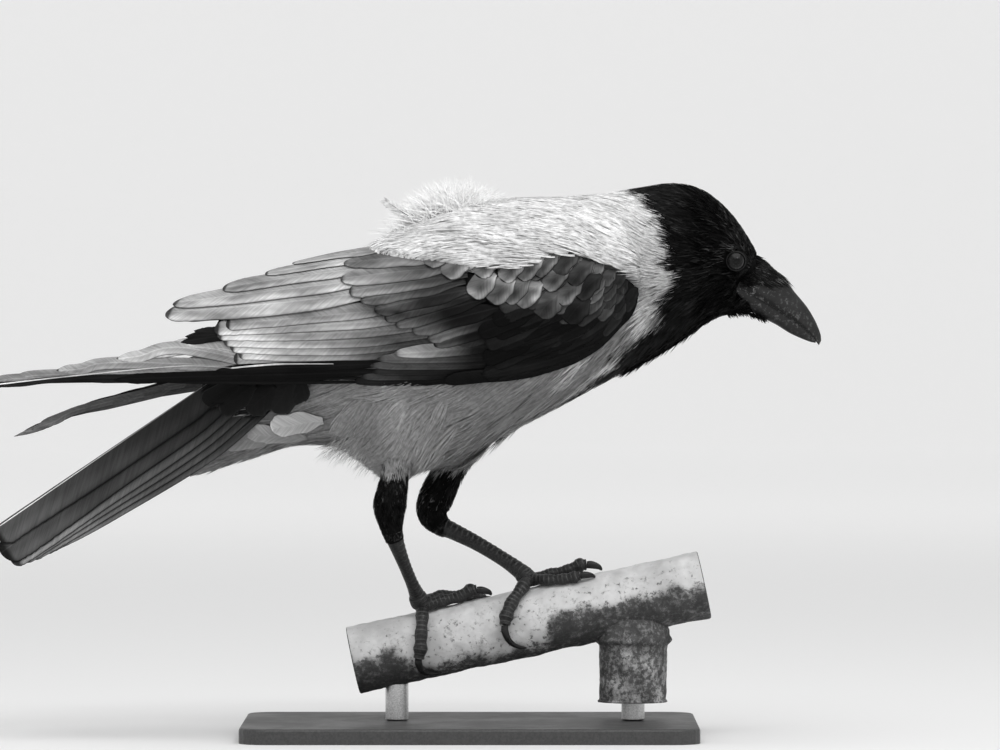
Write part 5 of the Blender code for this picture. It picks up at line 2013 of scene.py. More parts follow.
@dataclass
class Wing:
    """One folded wing. The left one is built as a right one and mirrored. Its greys are painted sheen."""

    side: str
    roof: WingRoof = field(default_factory=WingRoof)
    tips: tuple[float, ...] = (-149.0, -158.0, -171.0, -183.0, -214.0, -246.0, -258.0)
    closing: float = 9.0  # how long the primaries' points are, in half widths
    taper: float = 1.5
    point: float = 0.7  # 0.5 closes a tip like a circle, 1 like a wedge
    under_tone: float = 0.10
    slim: float = 1.0
    deepest: float = 0.62  # how far down the visible band a shaft may lie, as a share
    seed: int = 3
    outline: tuple[tuple[float, float], ...] = (  # x, and the height of the primaries' upper edge
        (-259.0, 182.6), (-244.4, 186.0), (-218.4, 190.6), (-195.0, 194.8), (-171.6, 200.4), (-158.6, 203.6),
        (-149.0, 206.4), (-143.0, 207.0), (-131.0, 206.0), (-112.0, 204.0), (0.0, 205.0),
    )
    underline: tuple[tuple[float, float], ...] = (  # x, and the height of their lower edge
        (-259.0, 181.9), (-244.4, 181.0), (-218.4, 183.4), (-195.0, 184.8), (-171.6, 185.0), (-112.0, 182.6),
        (-62.0, 180.0), (0.0, 180.0),
    )
    rim: tuple[tuple[float, float], ...] = (  # the front edge, from the top round to the lower edge
        (78.0, 240.5), (83.0, 236.5), (86.0, 231.0), (86.2, 226.0), (83.4, 218.8), (76.7, 212.0),
        (71.2, 206.0), (65.6, 201.0), (54.4, 194.4), (43.3, 190.5), (32.2, 187.2), (18.9, 185.2),
        (7.8, 184.6), (-1.0, 183.8), (-15.0, 182.0),
    )
    slab: tuple[tuple[float, float, float], ...] = (  # x, top and bottom of the dark inner layer
        (83.0, 231.0, 225.0), (80.0, 234.5, 219.5), (74.0, 238.0, 213.0), (60.0, 241.0, 201.0),
        (39.0, 241.5, 192.0), (15.6, 241.0, 187.0), (-15.6, 246.0, 184.5), (-36.0, 248.5, 183.5),
        (-61.0, 250.0, 184.0), (-88.0, 243.0, 185.0), (-112.0, 236.5, 187.0), (-122.0, 231.0, 190.0),
        (-128.0, 222.0, 197.0), (-132.0, 214.0, 205.0),
    )
    slab_depths: tuple[float, float] = (2.9, 3.9)
    pale_places: tuple[tuple[float, float], ...] = (  # x and height
        (11.4, 237.6), (24.0, 234.6), (36.4, 233.5), (47.3, 226.9), (23.4, 225.5), (1.0, 230.0),
        (35.0, 227.0),
    )

    def long_feathers(self) -> list[Feather]:
        """The long outer feathers, innermost first.

        Each tip lies on the folded wing's upper outline. The shaft keeps half a vane below it, or half
        the wing's height where it is narrower than that.

        Returns:
            The feathers.
        """
        made = []
        for number, x in enumerate(self.tips):
            share = number / (len(self.tips) - 1)
            root = 202.0 - 14.0 * share
            line = [(-20.0, root), (-92.0, root * 0.5 + 95.5 - 1.5 * share)]
            for back, under in ((34.0, 4.6 - 1.6 * share), (12.0, 3.0 - 1.2 * share), (0.0, 0.8)):
                line.append(self.below_outline(x + back, under))
            # their greys are painted sheen, paler towards the tips
            made.append(Feather(tuple(line), (4.4 - 1.5 * share) * self.slim,
                (4.6 - 1.4 * share) * self.slim, -2.4 + 0.08 * number, 0.42 - 0.06 * share,
                0.25 - 0.12 * share, inner_tone=self.under_tone, blunt=self.closing, taper=self.taper,
                point=self.point, rachis=0.5, edge=0.9, tilt=0.2, rough=0.012))
        return made

    def dark_feathers(self) -> list[Feather]:
        """Dark feathers over the primaries' roots and under their lower edge, and one bare pale shaft.

        Returns:
            The feathers.
        """
        made = []
        for number, x in enumerate((-150.0, -147.5, -143.0)):
            line = ((-96.0, 210.0 + number), (-126.0, 209.0 + 0.8 * number), (x, 205.4 + 3.2 * number))
            made.append(Feather(line, 3.0, 3.0, -2.3 - 0.1 * number, 0.009, 0.008, blunt=4.0, taper=1.3,
                rachis=0.2, edge_highlight=0.0, rough=0.05, point=0.8))
        for number, x in enumerate((self.tips[-1] + 5.0, self.tips[-1] + 26.0)):
            line = [(-20.0, 184.0 + 2.4 * number), (-95.0, 183.4 + 2.0 * number)]
            for back in (50.0, 20.0, 0.0):
                low = float(read(self.underline, x + back))
                line.append((x + back, low + 0.9 + 0.7 * number))
            made.append(Feather(tuple(line), 2.0, 1.2, -1.5 + 0.1 * number, 0.012, 0.004, inner_tone=0.5,
                blunt=12.0, taper=1.2, rachis=0.2, tilt=0.1, edge_highlight=0.0))
        for line, half, tone in (
                (((-20.0, 194.4), (-70.0, 192.6), (-104.0, 191.4), (-131.0, 190.2)), 2.8, 0.004),
                (((-20.0, 190.0), (-80.0, 188.4), (-140.0, 187.0), (-184.0, 185.4)), 2.9, 0.003),
                (((-70.0, 193.6), (-96.0, 193.6), (-112.0, 192.6), (-124.0, 191.4)), 0.5, 0.5)):
            drop = read(self.roof.drop, [x for x, _ in line])
            route = tuple((x, z - fall) for (x, z), fall in zip(line, drop))
            made.append(Feather(route, half, half, -1.15, tone, tone, blunt=6.0, taper=1.3, rachis=0.2,
                tilt=0.2, edge_highlight=0.0, point=0.8))
        shaft = tuple(self.below_outline(x, self.deepest * self.height_at(x))
            for x in np.linspace(-118.0, self.tips[-2], 6))
        made.append(Feather(shaft, 0.30, 0.30, -1.2, 0.85, 0.5, blunt=12.0, taper=1.2, rachis=0.0,
            tilt=0.0, edge=0.0, edge_highlight=0.0))
        return made

    def height_at(self, x: float) -> float:
        """The height of the primaries' visible band at x."""
        return float(read(self.outline, x) - read(self.underline, x))

    def below_outline(self, x: float, under: float) -> tuple[float, float]:
        """A place at x, under the primaries' upper edge but above the band's middle."""
        top = float(read(self.outline, x))
        return float(x), top - min(under, self.deepest * self.height_at(x))

    def secondaries(self) -> list[Feather]:
        """Feathers in a close pile, whose ends step down and forward, the lower ones dark to the front.

        Returns:
            The feathers.
        """
        shape = {"edge": 0.9, "edge_highlight": 0.35, "rachis": 0.25}
        # their greys are painted sheen, paler towards the tips
        return [
            Feather(((-20.0, 197.0), (-75.0, 195.6), (-122.0, 196.4)), 4.6, 4.0, -1.9, 0.30, 0.01, **shape),
            Feather(((-14.0, 201.0), (-70.0, 198.4), (-119.7, 199.6)), 4.6, 4.0, -1.8, 0.46, 0.03, **shape),
            Feather(((-12.0, 205.0), (-72.0, 201.6), (-124.0, 203.4)), 4.8, 4.0, -1.7, 0.46, 0.06, **shape),
            Feather(((-12.0, 209.0), (-72.0, 205.4), (-127.5, 206.6)), 4.8, 4.0, -1.6, 0.50, 0.10, **shape),
            Feather(((-15.0, 213.0), (-75.0, 209.8), (-130.5, 209.4)), 4.8, 3.8, -1.5, 0.48, 0.16, **shape),
            Feather(((-16.0, 218.0), (-78.0, 214.2), (-132.0, 212.0)), 5.0, 3.8, -1.4, 0.40, 0.20, **shape),
            Feather(((-20.0, 224.0), (-80.0, 218.6), (-126.0, 214.6)), 5.6, 4.0, -1.3, 0.30, 0.20, **shape),
        ]

    def tertials(self) -> list[Feather]:
        """The broad inner feathers, lowest first, so that each lies over the last.

        Returns:
            The feathers.
        """
        shape = {"rachis": 0.4, "edge": 0.85, "edge_highlight": 0.35, "blunt": 1.5}
        # their greys are painted sheen
        return [
            Feather(((-36.0, 233.0), (-100.0, 225.4), (-157.6, 220.8)), 8.0, 7.4, -0.9, 0.31, 0.30, **shape),
            Feather(((-38.0, 239.0), (-98.0, 232.2), (-154.0, 225.6)), 8.0, 6.4, -0.6, 0.30, 0.34, **shape),
            Feather(((-40.0, 245.0), (-88.0, 239.2), (-128.0, 233.2)), 8.0, 6.0, -0.3, 0.24, 0.31, **shape),
            Feather(((-44.0, 250.0), (-76.0, 245.4), (-106.0, 240.4)), 7.0, 5.0, 0.0, 0.24, 0.30, **shape),
            Feather(((-40.0, 252.5), (-66.0, 250.0), (-92.0, 245.6)), 6.0, 4.6, 0.3, 0.30, 0.24, **shape),
        ]

    def greater_coverts(self) -> list[Feather]:
        """The row that covers the roots of the flight feathers, lowest first.

        Returns:
            The feathers.
        """
        # their greys are painted sheen, paler towards the tips
        rows = (((36.0, 216.0), (-8.0, 203.0), 3.6, 0.020, 0.004),
            ((34.0, 219.0), (-18.4, 203.6), 4.2, 0.045, 0.004),
            ((26.0, 221.0), (-21.4, 206.6), 3.8, 0.080, 0.004),
            ((18.0, 223.6), (-29.5, 210.7), 4.8, 0.070, 0.005),
            ((9.0, 227.6), (-38.0, 213.6), 4.4, 0.110, 0.006),
            ((6.0, 230.0), (-43.6, 217.2), 3.6, 0.100, 0.008),
            ((3.0, 232.6), (-49.0, 221.5), 5.0, 0.120, 0.010),
            ((-2.0, 236.0), (-56.0, 226.4), 4.8, 0.100, 0.020),
            ((-1.0, 239.6), (-61.9, 231.0), 5.4, 0.150, 0.035),
            ((-6.0, 243.6), (-66.3, 237.4), 6.4, 0.240, 0.10),
            ((-10.0, 249.5), (-64.8, 245.6), 6.6, 0.120, 0.20))
        made = []
        for number, (root, tip, half, tone, root_tone) in enumerate(rows):
            middle = ((root[0] + tip[0]) / 2, (root[1] + tip[1]) / 2 + 0.5)
            made.append(Feather((root, middle, tip), half, half, -0.3 + 0.07 * number, tone, root_tone,
                blunt=1.9 + 0.5 * math.sin(2.1 * number), taper=1.6, rachis=0.35,
                edge=0.72 + 0.16 * math.sin(1.7 * number), edge_highlight=0.55 + 0.3 * math.sin(number),
                pales_from=float(np.interp(number, [0, 4, 9], [0.58, 0.40, 0.25]))
                + 0.17 * math.sin(2.3 * number), rough=0.05, tilt=0.22))
        return made

    def primary_coverts(self) -> list[Feather]:
        """Narrow dark coverts over the primaries' roots, and the two feathers of the thumb.

        Returns:
            The feathers.
        """
        dark = {"root_tone": 0.004, "blunt": 3.2, "taper": 1.5, "rachis": 0.2, "tilt": 0.2,
            "pales_from": 0.45}
        # their greys are painted sheen
        return [
            Feather(((14.0, 190.0), (-20.0, 184.4), (-60.0, 184.0)), 3.2, 2.4, -0.9, 0.010, **dark),
            Feather(((18.0, 192.4), (-14.0, 187.4), (-56.0, 186.6)), 2.6, 2.0, -0.8, 0.040, **dark),
            Feather(((22.0, 195.0), (-10.0, 190.2), (-50.0, 189.4)), 2.6, 2.2, -0.7, 0.024, **dark),
            Feather(((34.0, 197.0), (0.0, 193.0), (-51.0, 192.6)), 3.0, 2.2, -0.6, 0.085, **dark),
            Feather(((34.0, 200.5), (2.0, 197.0), (-47.6, 196.0)), 3.4, 2.4, -0.4, 0.110, **dark),
            Feather(((26.0, 205.0), (0.0, 202.0), (-38.6, 199.0)), 4.0, 3.6, -0.2, 0.300, **dark),
            Feather(((64.0, 204.0), (40.0, 196.0), (6.0, 188.2)), 4.4, 3.0, 1.3, 0.006, **dark),
        ]

    def median_coverts(self) -> list[Feather]:
        """The row over the greater coverts' roots: short, round-ended and hanging.

        Returns:
            The feathers.
        """
        # their greys are painted sheen
        lower = ((-21.0, 243.0, 6.6, 0.150), (-12.0, 237.6, 6.8, 0.150), (1.1, 227.8, 6.2, 0.085),
            (10.6, 225.1, 6.0, 0.075), (18.3, 225.1, 5.4, 0.045), (24.6, 223.3, 5.8, 0.085),
            (34.6, 218.3, 7.2, 0.034), (48.8, 215.5, 6.6, 0.009))
        upper = ((4.4, 237.9, 5.2, 0.110), (16.7, 235.8, 5.0, 0.130), (25.6, 236.4, 4.6, 0.100),
            (33.6, 238.4, 4.4, 0.070), (38.6, 231.4, 4.8, 0.090), (45.4, 224.4, 4.6, 0.060),
            (44.0, 239.0, 4.2, 0.030), (51.0, 234.0, 4.4, 0.030), (55.0, 227.0, 4.8, 0.014))
        made = []
        for row, rise, worn in ((lower, 1.25, 0.03), (upper, 1.65, 0.05)):
            for number, (x, z, half, tone) in enumerate(row):
                root = (x + 12.0, z + 12.0)
                middle = (x + 5.6, z + 7.0)
                made.append(Feather((root, middle, (x, z)), half, half, rise + 0.05 * number, tone,
                    tone * 1.5, edge=0.93, blunt=1.0, taper=2.0, rachis=0.15, edge_highlight=0.6, tilt=0.42,
                    dome=0.35, rough=worn, core=0.6, rim_from=0.955))
        return made

    def lesser_coverts(self, rng: np.random.Generator) -> list[Feather]:
        """Front feathers of the wing: small scales above, grey with painted sheen, long smooth black ones
        below.

        Args:
            rng: The source of chance.

        Returns:
            The feathers.
        """
        made = []
        for column, x in enumerate(np.arange(36.0, 89.0, 5.4)):
            top = np.interp(x, [36, 42, 59, 75, 82, 87], [222, 250, 249, 244.5, 239, 232])
            low = np.interp(x, [20, 39, 57.2, 70.2, 80.1, 84, 88], [194, 196, 201, 210, 219, 225, 231])
            z = top - 2.6 * (column % 2)
            while z > low:
                xx, zz = x + rng.uniform(-1.0, 1.0), z + rng.uniform(-0.8, 0.8)
                low_down = float(ease(5.0, -3.0, zz - 236.4 + 0.38 * (xx - 36.9)))
                size = float(np.interp(xx, [20, 60, 88], [1.05, 0.95, 0.7]))
                long = (13.0 + 18.0 * low_down) * size * rng.uniform(0.92, 1.08)
                fall = 0.66 - 0.28 * low_down + 0.35 * float(ease(62.0, 84.0, xx))
                tip = (xx - long * math.cos(fall), zz - long * math.sin(fall))
                # painted sheen that makes the upper scales grey, less of it towards the front
                glow = 0.060 * float(ease(84.0, 66.0, xx)) * (1 - low_down) * rng.uniform(0.3, 1.6)
                own = 0.0030 * math.exp(min(rng.normal(0.0, 0.7), 0.9))
                made.append(Feather(((xx, zz), ((xx + tip[0]) / 2, (zz + tip[1]) / 2), tip), 4.4 * size,
                    4.4 * size, 1.25, own + glow, edge=0.85 - 0.3 * low_down, blunt=1.0, rachis=0.1,
                    tilt=0.40 - 0.22 * low_down, dome=0.28 - 0.2 * low_down, edge_highlight=0.9 - 0.5 * low_down))
                z -= (5.0 + 2.2 * low_down) * size
        return made

    def rim_feathers(self) -> list[Feather]:
        """Long feathers that follow the wing's front edge and give it one smooth line.

        Returns:
            The feathers.
        """
        line = np.array(self.rim)
        length = distance_along(line)
        direction = unit(np.gradient(line, axis=0))
        line = line + pack(direction[:, 1], -direction[:, 0]) * 2.6
        made = []
        for start in np.arange(0.0, length[-1] - 30.0, 6.0)[::-1]:
            along = np.linspace(start, start + 30.0, 7)
            route = pack(np.interp(along, length, line[:, 0]), np.interp(along, length, line[:, 1]))
            made.append(Feather(tuple(map(tuple, route.tolist())), 4.6, 2.7, 1.0, 0.0045, edge=0.3,
                blunt=1.8, rachis=0.0, tilt=0.05, dome=0.05, edge_highlight=0.0))
        return made

    def own_tone(self, points: Array) -> Array:
        """Soft patches in the painted sheen: ripples drawn out along the feathers, one dark smudge and the
        small pale places on the median coverts.

        Args:
            points: Places in millimetres.

        Returns:
            The share at each.
        """
        stretched = points * (0.45, 1.0, 1.5)
        # the ripples make the painted sheen uneven
        worn = (1 + 0.24 * ripple(stretched, 22.0, self.seed + 1)
            + 0.16 * ripple(stretched, 6.0, self.seed + 2))
        x, z = points[..., 0] + 31.0, points[..., 2] - 216.0
        smudge = np.exp(-(x / 17.0) ** 2 - ((z - 0.12 * x) / 5.5) ** 2)
        slanted = points[..., 0] + 0.6 * points[..., 2]
        pale_places = sum(hump(slanted, x + 0.6 * z, 5.0) * hump(points[..., 2], z, 2.6)
            for x, z in self.pale_places)
        return worn * (1 - 0.45 * smudge) * (1 + 1.6 * np.clip(pale_places, 0, 1))

    def layer(self, piece: Piece, feathers: list[Feather], rng: np.random.Generator, cells: int,
            rows: int = 26, columns: Array = VANE_COLUMNS) -> None:
        """Adds a row of feathers, each a touch nearer to the eye than the last.

        Args:
            piece: What they are added to.
            feathers: The row.
            rng: The source of chance.
            cells: Cells along each side of the baking map.
            rows: Rows of points along a feather.
            columns: Places across a feather.
        """
        for number, feather in enumerate(feathers):
            route = np.array(feather.route)
            route = through(route, np.linspace(0, len(route) - 1, 4 * len(route)))
            vane_shell(piece, self.surface, self.roof.place(route), feather, number, cells, rng, rows,
                self.own_tone, columns)

    def build(self) -> None:
        """The inner layer, then five pieces of feathers."""
        rng = np.random.default_rng(self.seed)
        self.surface = self.roof.surface()
        pieces = {
            "primaries": (self.long_feathers() + self.dark_feathers(), 4, 44, ("primaries",)),
            "secondaries": (self.secondaries(), 3, 32, ("secondaries",)),
            "tertials": (self.tertials(), 3, 32, ("tertials",)),
            "greater_coverts": (self.primary_coverts() + self.greater_coverts() + self.median_coverts(),
                6, 26, ()),
            "lesser_coverts": (self.rim_feathers() + self.lesser_coverts(rng), 12, 12, ("coverts",)),
        }
        for name, (feathers, cells, rows, blocks) in pieces.items():
            piece = Piece()
            self.layer(piece, feathers, rng, cells, rows, SCALE_COLUMNS if rows < 20 else VANE_COLUMNS)
            made = piece.mirror() if self.side == "left" else piece
            made.finish(f"feathers_{self.side}_{name}", VANES.material(), "flight_feathers",
                *(f"wing_{self.side}_{block}" for block in blocks))
        slab = self.slab_piece()
        made = slab.mirror() if self.side == "left" else slab
        made.finish(f"wing_core_{self.side}", VANES.material(), "flight_feathers")

    def slab_piece(self) -> Piece:
        """The dark layer inside the pile: a thin closed band on the roof.

        Returns:
            The piece.
        """
        count, columns = 70, 24
        rows = through(self.slab, np.linspace(0, len(self.slab) - 1, count))
        z = rows[:, 1:2] + (rows[:, 2:3] - rows[:, 1:2]) * np.linspace(0, 1, columns)
        places = self.roof.place(pack(rows[:, :1], z).reshape(-1, 2))
        spot = self.surface.at(places[:, 0], places[:, 1])
        outer, inner = ((spot.point - spot.normal * depth).reshape(count, columns, 3)
            for depth in self.slab_depths)
        ring = np.concatenate([outer, inner[:, ::-1]], axis=1)
        piece = Piece()
        piece.add(ring, shell(count, 2 * columns), turn=True, plume=0.006, run=0.0, side=3.0, feather=0.0,
            rachis=0.0)
        return piece


@dataclass
class Tail:
    """Twelve feathers on a sloping tent, rolled so that its right side faces out."""

    root: tuple[float, float] = (-96.0, 210.6)
    slope: float = math.radians(33.9)
    length: float = 187.5
    right_fall: float = math.radians(52.0)
    left_fall: float = math.radians(14.0)
    right_width: float = 50.0
    vanes: tuple[tuple[tuple[tuple[float, float], ...], float, float], ...] = (
        # the shaft's (share, distance from the ridge), and the outer and inner half widths
        (((0.0, -0.5), (0.35, -1.0), (0.7, -2.0), (0.99, -4.5)), 13.0, 5.0),
        (((0.0, -8.0), (0.35, -13.5), (0.7, -15.5), (0.995, -18.0)), 12.2, 9.0),
        (((0.0, -16.0), (0.35, -24.0), (0.7, -25.0), (0.982, -25.5)), 6.6, 8.0),
        (((0.0, -20.0), (0.35, -29.0), (0.7, -28.0), (0.955, -27.0)), 5.6, 7.5),
        (((0.0, -25.0), (0.35, -33.0), (0.7, -31.0), (0.93, -28.0)), 5.2, 7.0),
        (((0.0, -30.0), (0.35, -37.0), (0.7, -33.5), (0.89, -29.0)), 4.8, 6.5),
    )
    left_width: float = 32.0
    left_share: float = 0.66  # the left feathers' widths against the right ones
    margin: float = 0.04  # how far the tent goes on past both ends, as a share
    soft: float = 2.0
    seed: int = 9

    def surface_at(self) -> Surface:
        """The tent: rows from root to tip, columns from the right edge over the ridge to the left.

        A place w millimetres from the ridge lies w cos(fall) to its side and w sin(fall) below it, and
        a hyperbola rounds the ridge off.

        Returns:
            The surface.
        """
        share = np.linspace(-self.margin, 1 + self.margin, 120)[:, None]
        w = np.linspace(-self.right_width, self.left_width, 160)[None]
        reach = np.sqrt(w**2 + self.soft**2)
        half = reach - self.soft
        blend = 0.5 * (1 + w / reach)
        fall = self.right_fall + (self.left_fall - self.right_fall) * blend
        side = w * np.cos(fall)
        down = half * np.sin(fall) + 0.0015 * w**2
        c, s = math.cos(self.slope), math.sin(self.slope)
        ridge_x = self.root[0] - share * self.length * c
        ridge_z = self.root[1] - share * self.length * s
        return Surface(pack(ridge_x + down * s, side, ridge_z - down * c), closed=False)

    def feathers(self) -> list[Feather]:
        """Outermost first on each side, and the middle pair last, on top.

        Returns:
            The feathers.
        """
        made = []
        for number, (routes, outer, inner) in reversed(list(enumerate(self.vanes))):
            for side in (1, -1):
                clear = 1.5 if number else 5.0
                route = [(share, w if side > 0 else -self.left_share * w + clear) for share, w in routes]
                spread = 1.0 if side > 0 else self.left_share
                widths = (inner * spread, outer * spread) if side > 0 else (outer * spread, inner * spread)
                # painted sheen: the outer feathers are made greyest
                tone = 0.044 if number < 2 else 0.13
                made.append(Feather(tuple(route), *widths, -0.55 * number - (0.3 if side < 0 else 0.0),
                    tone, tone * (0.5 if number < 2 else 0.25), blunt=0.9, tilt=0.3 * side, edge=0.85,
                    rachis=0.5, rough=0.02, edge_highlight=0.45))
        made.append(Feather(((0.16, -1.2), (0.5, -1.9), (0.96, -3.4)), 0.28, 0.28, 0.25, 0.62, 0.20,
            blunt=9.0, rachis=0.0, tilt=0.0, edge=0.0, edge_highlight=0.0))
        return made

    def tone_at(self, points: Array) -> Array:
        """Paler and worn towards the tips."""
        share = (self.root[0] - points[..., 0]) / (self.length * math.cos(self.slope))
        return (0.8 + 0.5 * ease(0.35, 1.0, share)) * (1 + 0.14 * ripple(points, 34.0, 23))

    def build(self) -> None:
        """All twelve feathers as one piece."""
        rng = np.random.default_rng(self.seed)
        surface = self.surface_at()
        piece = Piece()
        span = self.right_width + self.left_width
        for number, feather in enumerate(self.feathers()):
            route = through(feather.route, np.linspace(0, len(feather.route) - 1, 13))
            places = pack((route[:, 0] + self.margin) / (1 + 2 * self.margin),
                (route[:, 1] + self.right_width) / span)
            vane_shell(piece, surface, places, feather, number, 4, rng, 60, self.tone_at)
        piece.finish("feathers_tail", VANES.material(), "flight_feathers", "tail")


# ---- legs, feet and claws ---------------------------------------------------------------------------

@dataclass(frozen=True)
class RailLine:
    """The rail's axis and radius, which the toes are placed on."""

    radius: float = 17.5
    slope: float = math.radians(12.2)
    point: tuple[float, float] = (-5.2, 51.3)

    def on(self, along: Array, degrees: Array, height: Array) -> tuple[Array, Array]:
        """Points over the rail's surface, and the outward direction there.

        Args:
            along: Distance along the rail.
            degrees: Turn round from its top towards the bird's right.
            height: Distance over its surface.

        Returns:
            The points and the directions.
        """
        angle = np.radians(degrees)
        c, s = math.cos(self.slope), math.sin(self.slope)
        out = pack(-np.cos(angle) * s, -np.sin(angle), np.cos(angle) * c)
        axis = pack(self.point[0] + along * c, 0.0, self.point[1] + along * s)
        return axis + out * (self.radius + height)[..., None], out


@dataclass
class Leg:
    """One leg: feathered thigh, scaled shank, four toes and their claws.

    The leg's rows are a point and a radius, from inside the belly to the foot. A toe's rows are a
    distance along the rail, degrees round it, height over it and radius.
    """

    name: str
    rows: tuple[tuple[tuple[float, float, float], float], ...]
    toes: dict[int, tuple[tuple[float, ...], ...]]
    claws: dict[int, tuple[tuple[float, ...], ...]]
    rail: RailLine = field(default_factory=RailLine)
    hock: float = 5.35
    foot: float = 9.95
    front: tuple[float, float, float] = (0.8, 0.0, 0.6)
    scute: float = 3.3
    toe_scute: float = 2.3
    palm_length: float = 4.6
    palm_radius: float = 4.9
    pale_above: float = 141.0
    seed: int = 5

    def line(self, start: float, end: float, count: int) -> tuple[Array, Array]:
        """Points and radii along the leg.

        Args:
            start: The first place, counted in rows.
            end: The last.
            count: How many points.

        Returns:
            The points and the radii.
        """
        places = np.linspace(start, end, count)
        points = through([point for point, _ in self.rows], places)
        return points, through([[radius] for _, radius in self.rows], places)[:, 0]

    def thigh_rings(self) -> Array:
        """The thigh's skin, drawn in under its feathers.

        Returns:
            The rings of points.
        """
        points, radii = self.line(0.0, self.hock + 0.1, 40)
        inset = np.interp(np.linspace(0, 1, 40), [0, 0.5, 0.85, 1.0], [1.8, 1.5, 0.8, 0.4])
        return tube(points, radii - inset, np.array(self.front), 32)[0]

    def build_thigh(self, markings: Markings) -> None:
        """Short black feathers down the thigh, and the pale ones of the belly over its root.

        Args:
            markings: The bird's markings.
        """
        rng = np.random.default_rng(self.seed)
        points, radii = self.line(0.0, self.hock + 0.25, 90)
        surface = Surface(tube(points, radii, np.array(self.front), 64)[0][::-1, ::-1])
        number = 1500
        u = rng.uniform(0.02, 0.93, number)
        v = rng.uniform(0, 1, number)
        z = surface.at(u, v).point[:, 2]
        tone = markings.black * 1.2 * sheen(rng, number)
        length = np.interp(u, [0, 0.3, 1.0], [3.2, 6.5, 11.0]) * rng.uniform(0.8, 1.2, number)
        pale = z > self.pale_above + 2.0 * rng.normal(size=number)
        # the pale ones take the belly's grey, with its painted shade
        tone = np.where(pale, markings.belly * rng.uniform(0.8, 1.1, number), tone)
        depth = np.interp(u, [0, 0.15, 0.5, 1], [0.4, 0.9, 1.5, 1.6])
        heading = -unit(surface.at(u, v).along) + rng.normal(0, 0.1, (number, 3))
        lay = Lay(u, v, length, np.full(number, 2.4), heading, depth, rng.uniform(-0.1, 0.5, number), tone,
            np.zeros(number))
        piece = Piece()
        add_strands(piece, lay_strands(surface, lay, 5, 0.42, rng))
        piece.finish(f"coat_thigh_{self.name}", BLACK_PLUMAGE.material(), "black_plumage")

    def scutes(self, length: Array, angle: Array, pitch: float, step: float) -> tuple[Array, Array]:
        """Overlapping plates down the front.

        Each plate climbs in a straight line from its upper end to its lower rim and drops there, over
        the front half only, with a shallow round relief behind.

        Args:
            length: Distance down the limb, one a ring.
            angle: Angle from the front, one a side.
            pitch: One plate's length.
            step: How far its rim stands out.

        Returns:
            The height of the relief and how much of a rim each point is.
        """
        phase = (length / pitch)[:, None] + 0.18 * np.cos(angle)[None] - 0.18
        saw = phase - np.floor(phase)
        front = ease(-0.15, 0.45, np.cos(angle))[None]
        beads = 0.5 + 0.5 * np.sin(2 * np.pi * length / pitch * 1.6)[:, None] * np.sin(3 * angle)[None]
        height = step * front * saw**1.4 + 0.35 * step * (1 - front) * beads
        rim = ease(0.72, 0.98, saw) * front + 0.4 * ease(0.75, 1.0, beads) * (1 - front)
        return height, rim

    def add_limb(self, piece: Piece, points: Array, radii: Array, facing: Array, sides: int, pitch: float,
            step: float) -> None:
        """Adds a scaled tube.

        Args:
            piece: What they are added to.
            points: Its line.
            radii: Its radii.
            facing: Where its plates face.
            sides: Points in a ring.
            pitch: One plate's length.
            step: How far a plate's rim stands out.
        """
        angle = turns(sides)
        angle = np.where(angle > np.pi, angle - 2 * np.pi, angle)
        height, rim = self.scutes(distance_along(points), angle, pitch, step)
        rings = tube(points, radii[:, None] + height - 0.4 * step, facing, sides)[0]
        piece.add(rings, shell(*rings.shape[:2]), rim=rim)

    def build_foot(self) -> None:
        """Shank, palm and toes as one piece, with swollen joints and pads."""
        piece = Piece()
        points, radii = self.line(self.hock - 0.35, self.foot, 190)
        self.add_limb(piece, points, radii, np.array(self.front), 40, self.scute, 0.34)
        palm = self.line(self.foot - 0.6, self.foot, 12)[0]
        down = unit(palm[-1] - palm[-6])
        share = np.linspace(-0.6, 1.0, 26)
        ball = palm[-1:] + down * share[:, None] * self.palm_length
        swell = np.sqrt(np.clip(1 - np.clip(share, -1, 1) ** 4, 0.02, 1))
        self.add_limb(piece, ball, self.palm_radius * swell, np.array(self.front), 36, 2.0, 0.22)
        for rows in self.toes.values():
            keys = np.array(rows)
            places = np.linspace(0, len(rows) - 1, 110)
            along, degrees, height, radius = through(keys, places).T
            centre, out = self.rail.on(along, degrees, height)
            joints = 1 + 0.09 * np.cos(2 * np.pi * places)
            taper = round_end(places / (len(rows) - 1), 0.035, 0.05)
            self.add_limb(piece, centre, radius * joints * taper, out, 26, self.toe_scute, 0.26)
        piece.finish(f"leg_and_foot_{self.name}", LEG_SKIN.material(), "leg_scales", f"shank_{self.name}",
            f"foot_{self.name}", sharp=70)

    def build_claws(self) -> None:
        """Four curved claws, deeper than wide, each a tube that narrows to a point."""
        for number, rows in self.claws.items():
            toe = self.toes[number]
            keys = np.array([toe[-1], *rows])
            keys[0, 3] = rows[0][3] * 0.94
            places = np.linspace(0.0, len(keys) - 1, 60)
            along, degrees, height, radius = through(keys, places).T
            centre, out = self.rail.on(along, degrees, height)
            narrow = round_end((places - places[0]) / (places[-1] - places[0]), 0.1, 0.03)
            oval = 1 - 0.16 * np.sin(turns(28))[None] ** 2
            rings = tube(centre, (radius * narrow)[:, None] * oval, out, 28)[0]
            piece = Piece()
            piece.add(rings, shell(*rings.shape[:2]), worn=0.5, crease=0.0)
            piece.finish(f"horn_{self.name}_{number}", CLAW_HORN.material(), "claw_horn",
                f"claw_{self.name}_{number}", sharp=70)


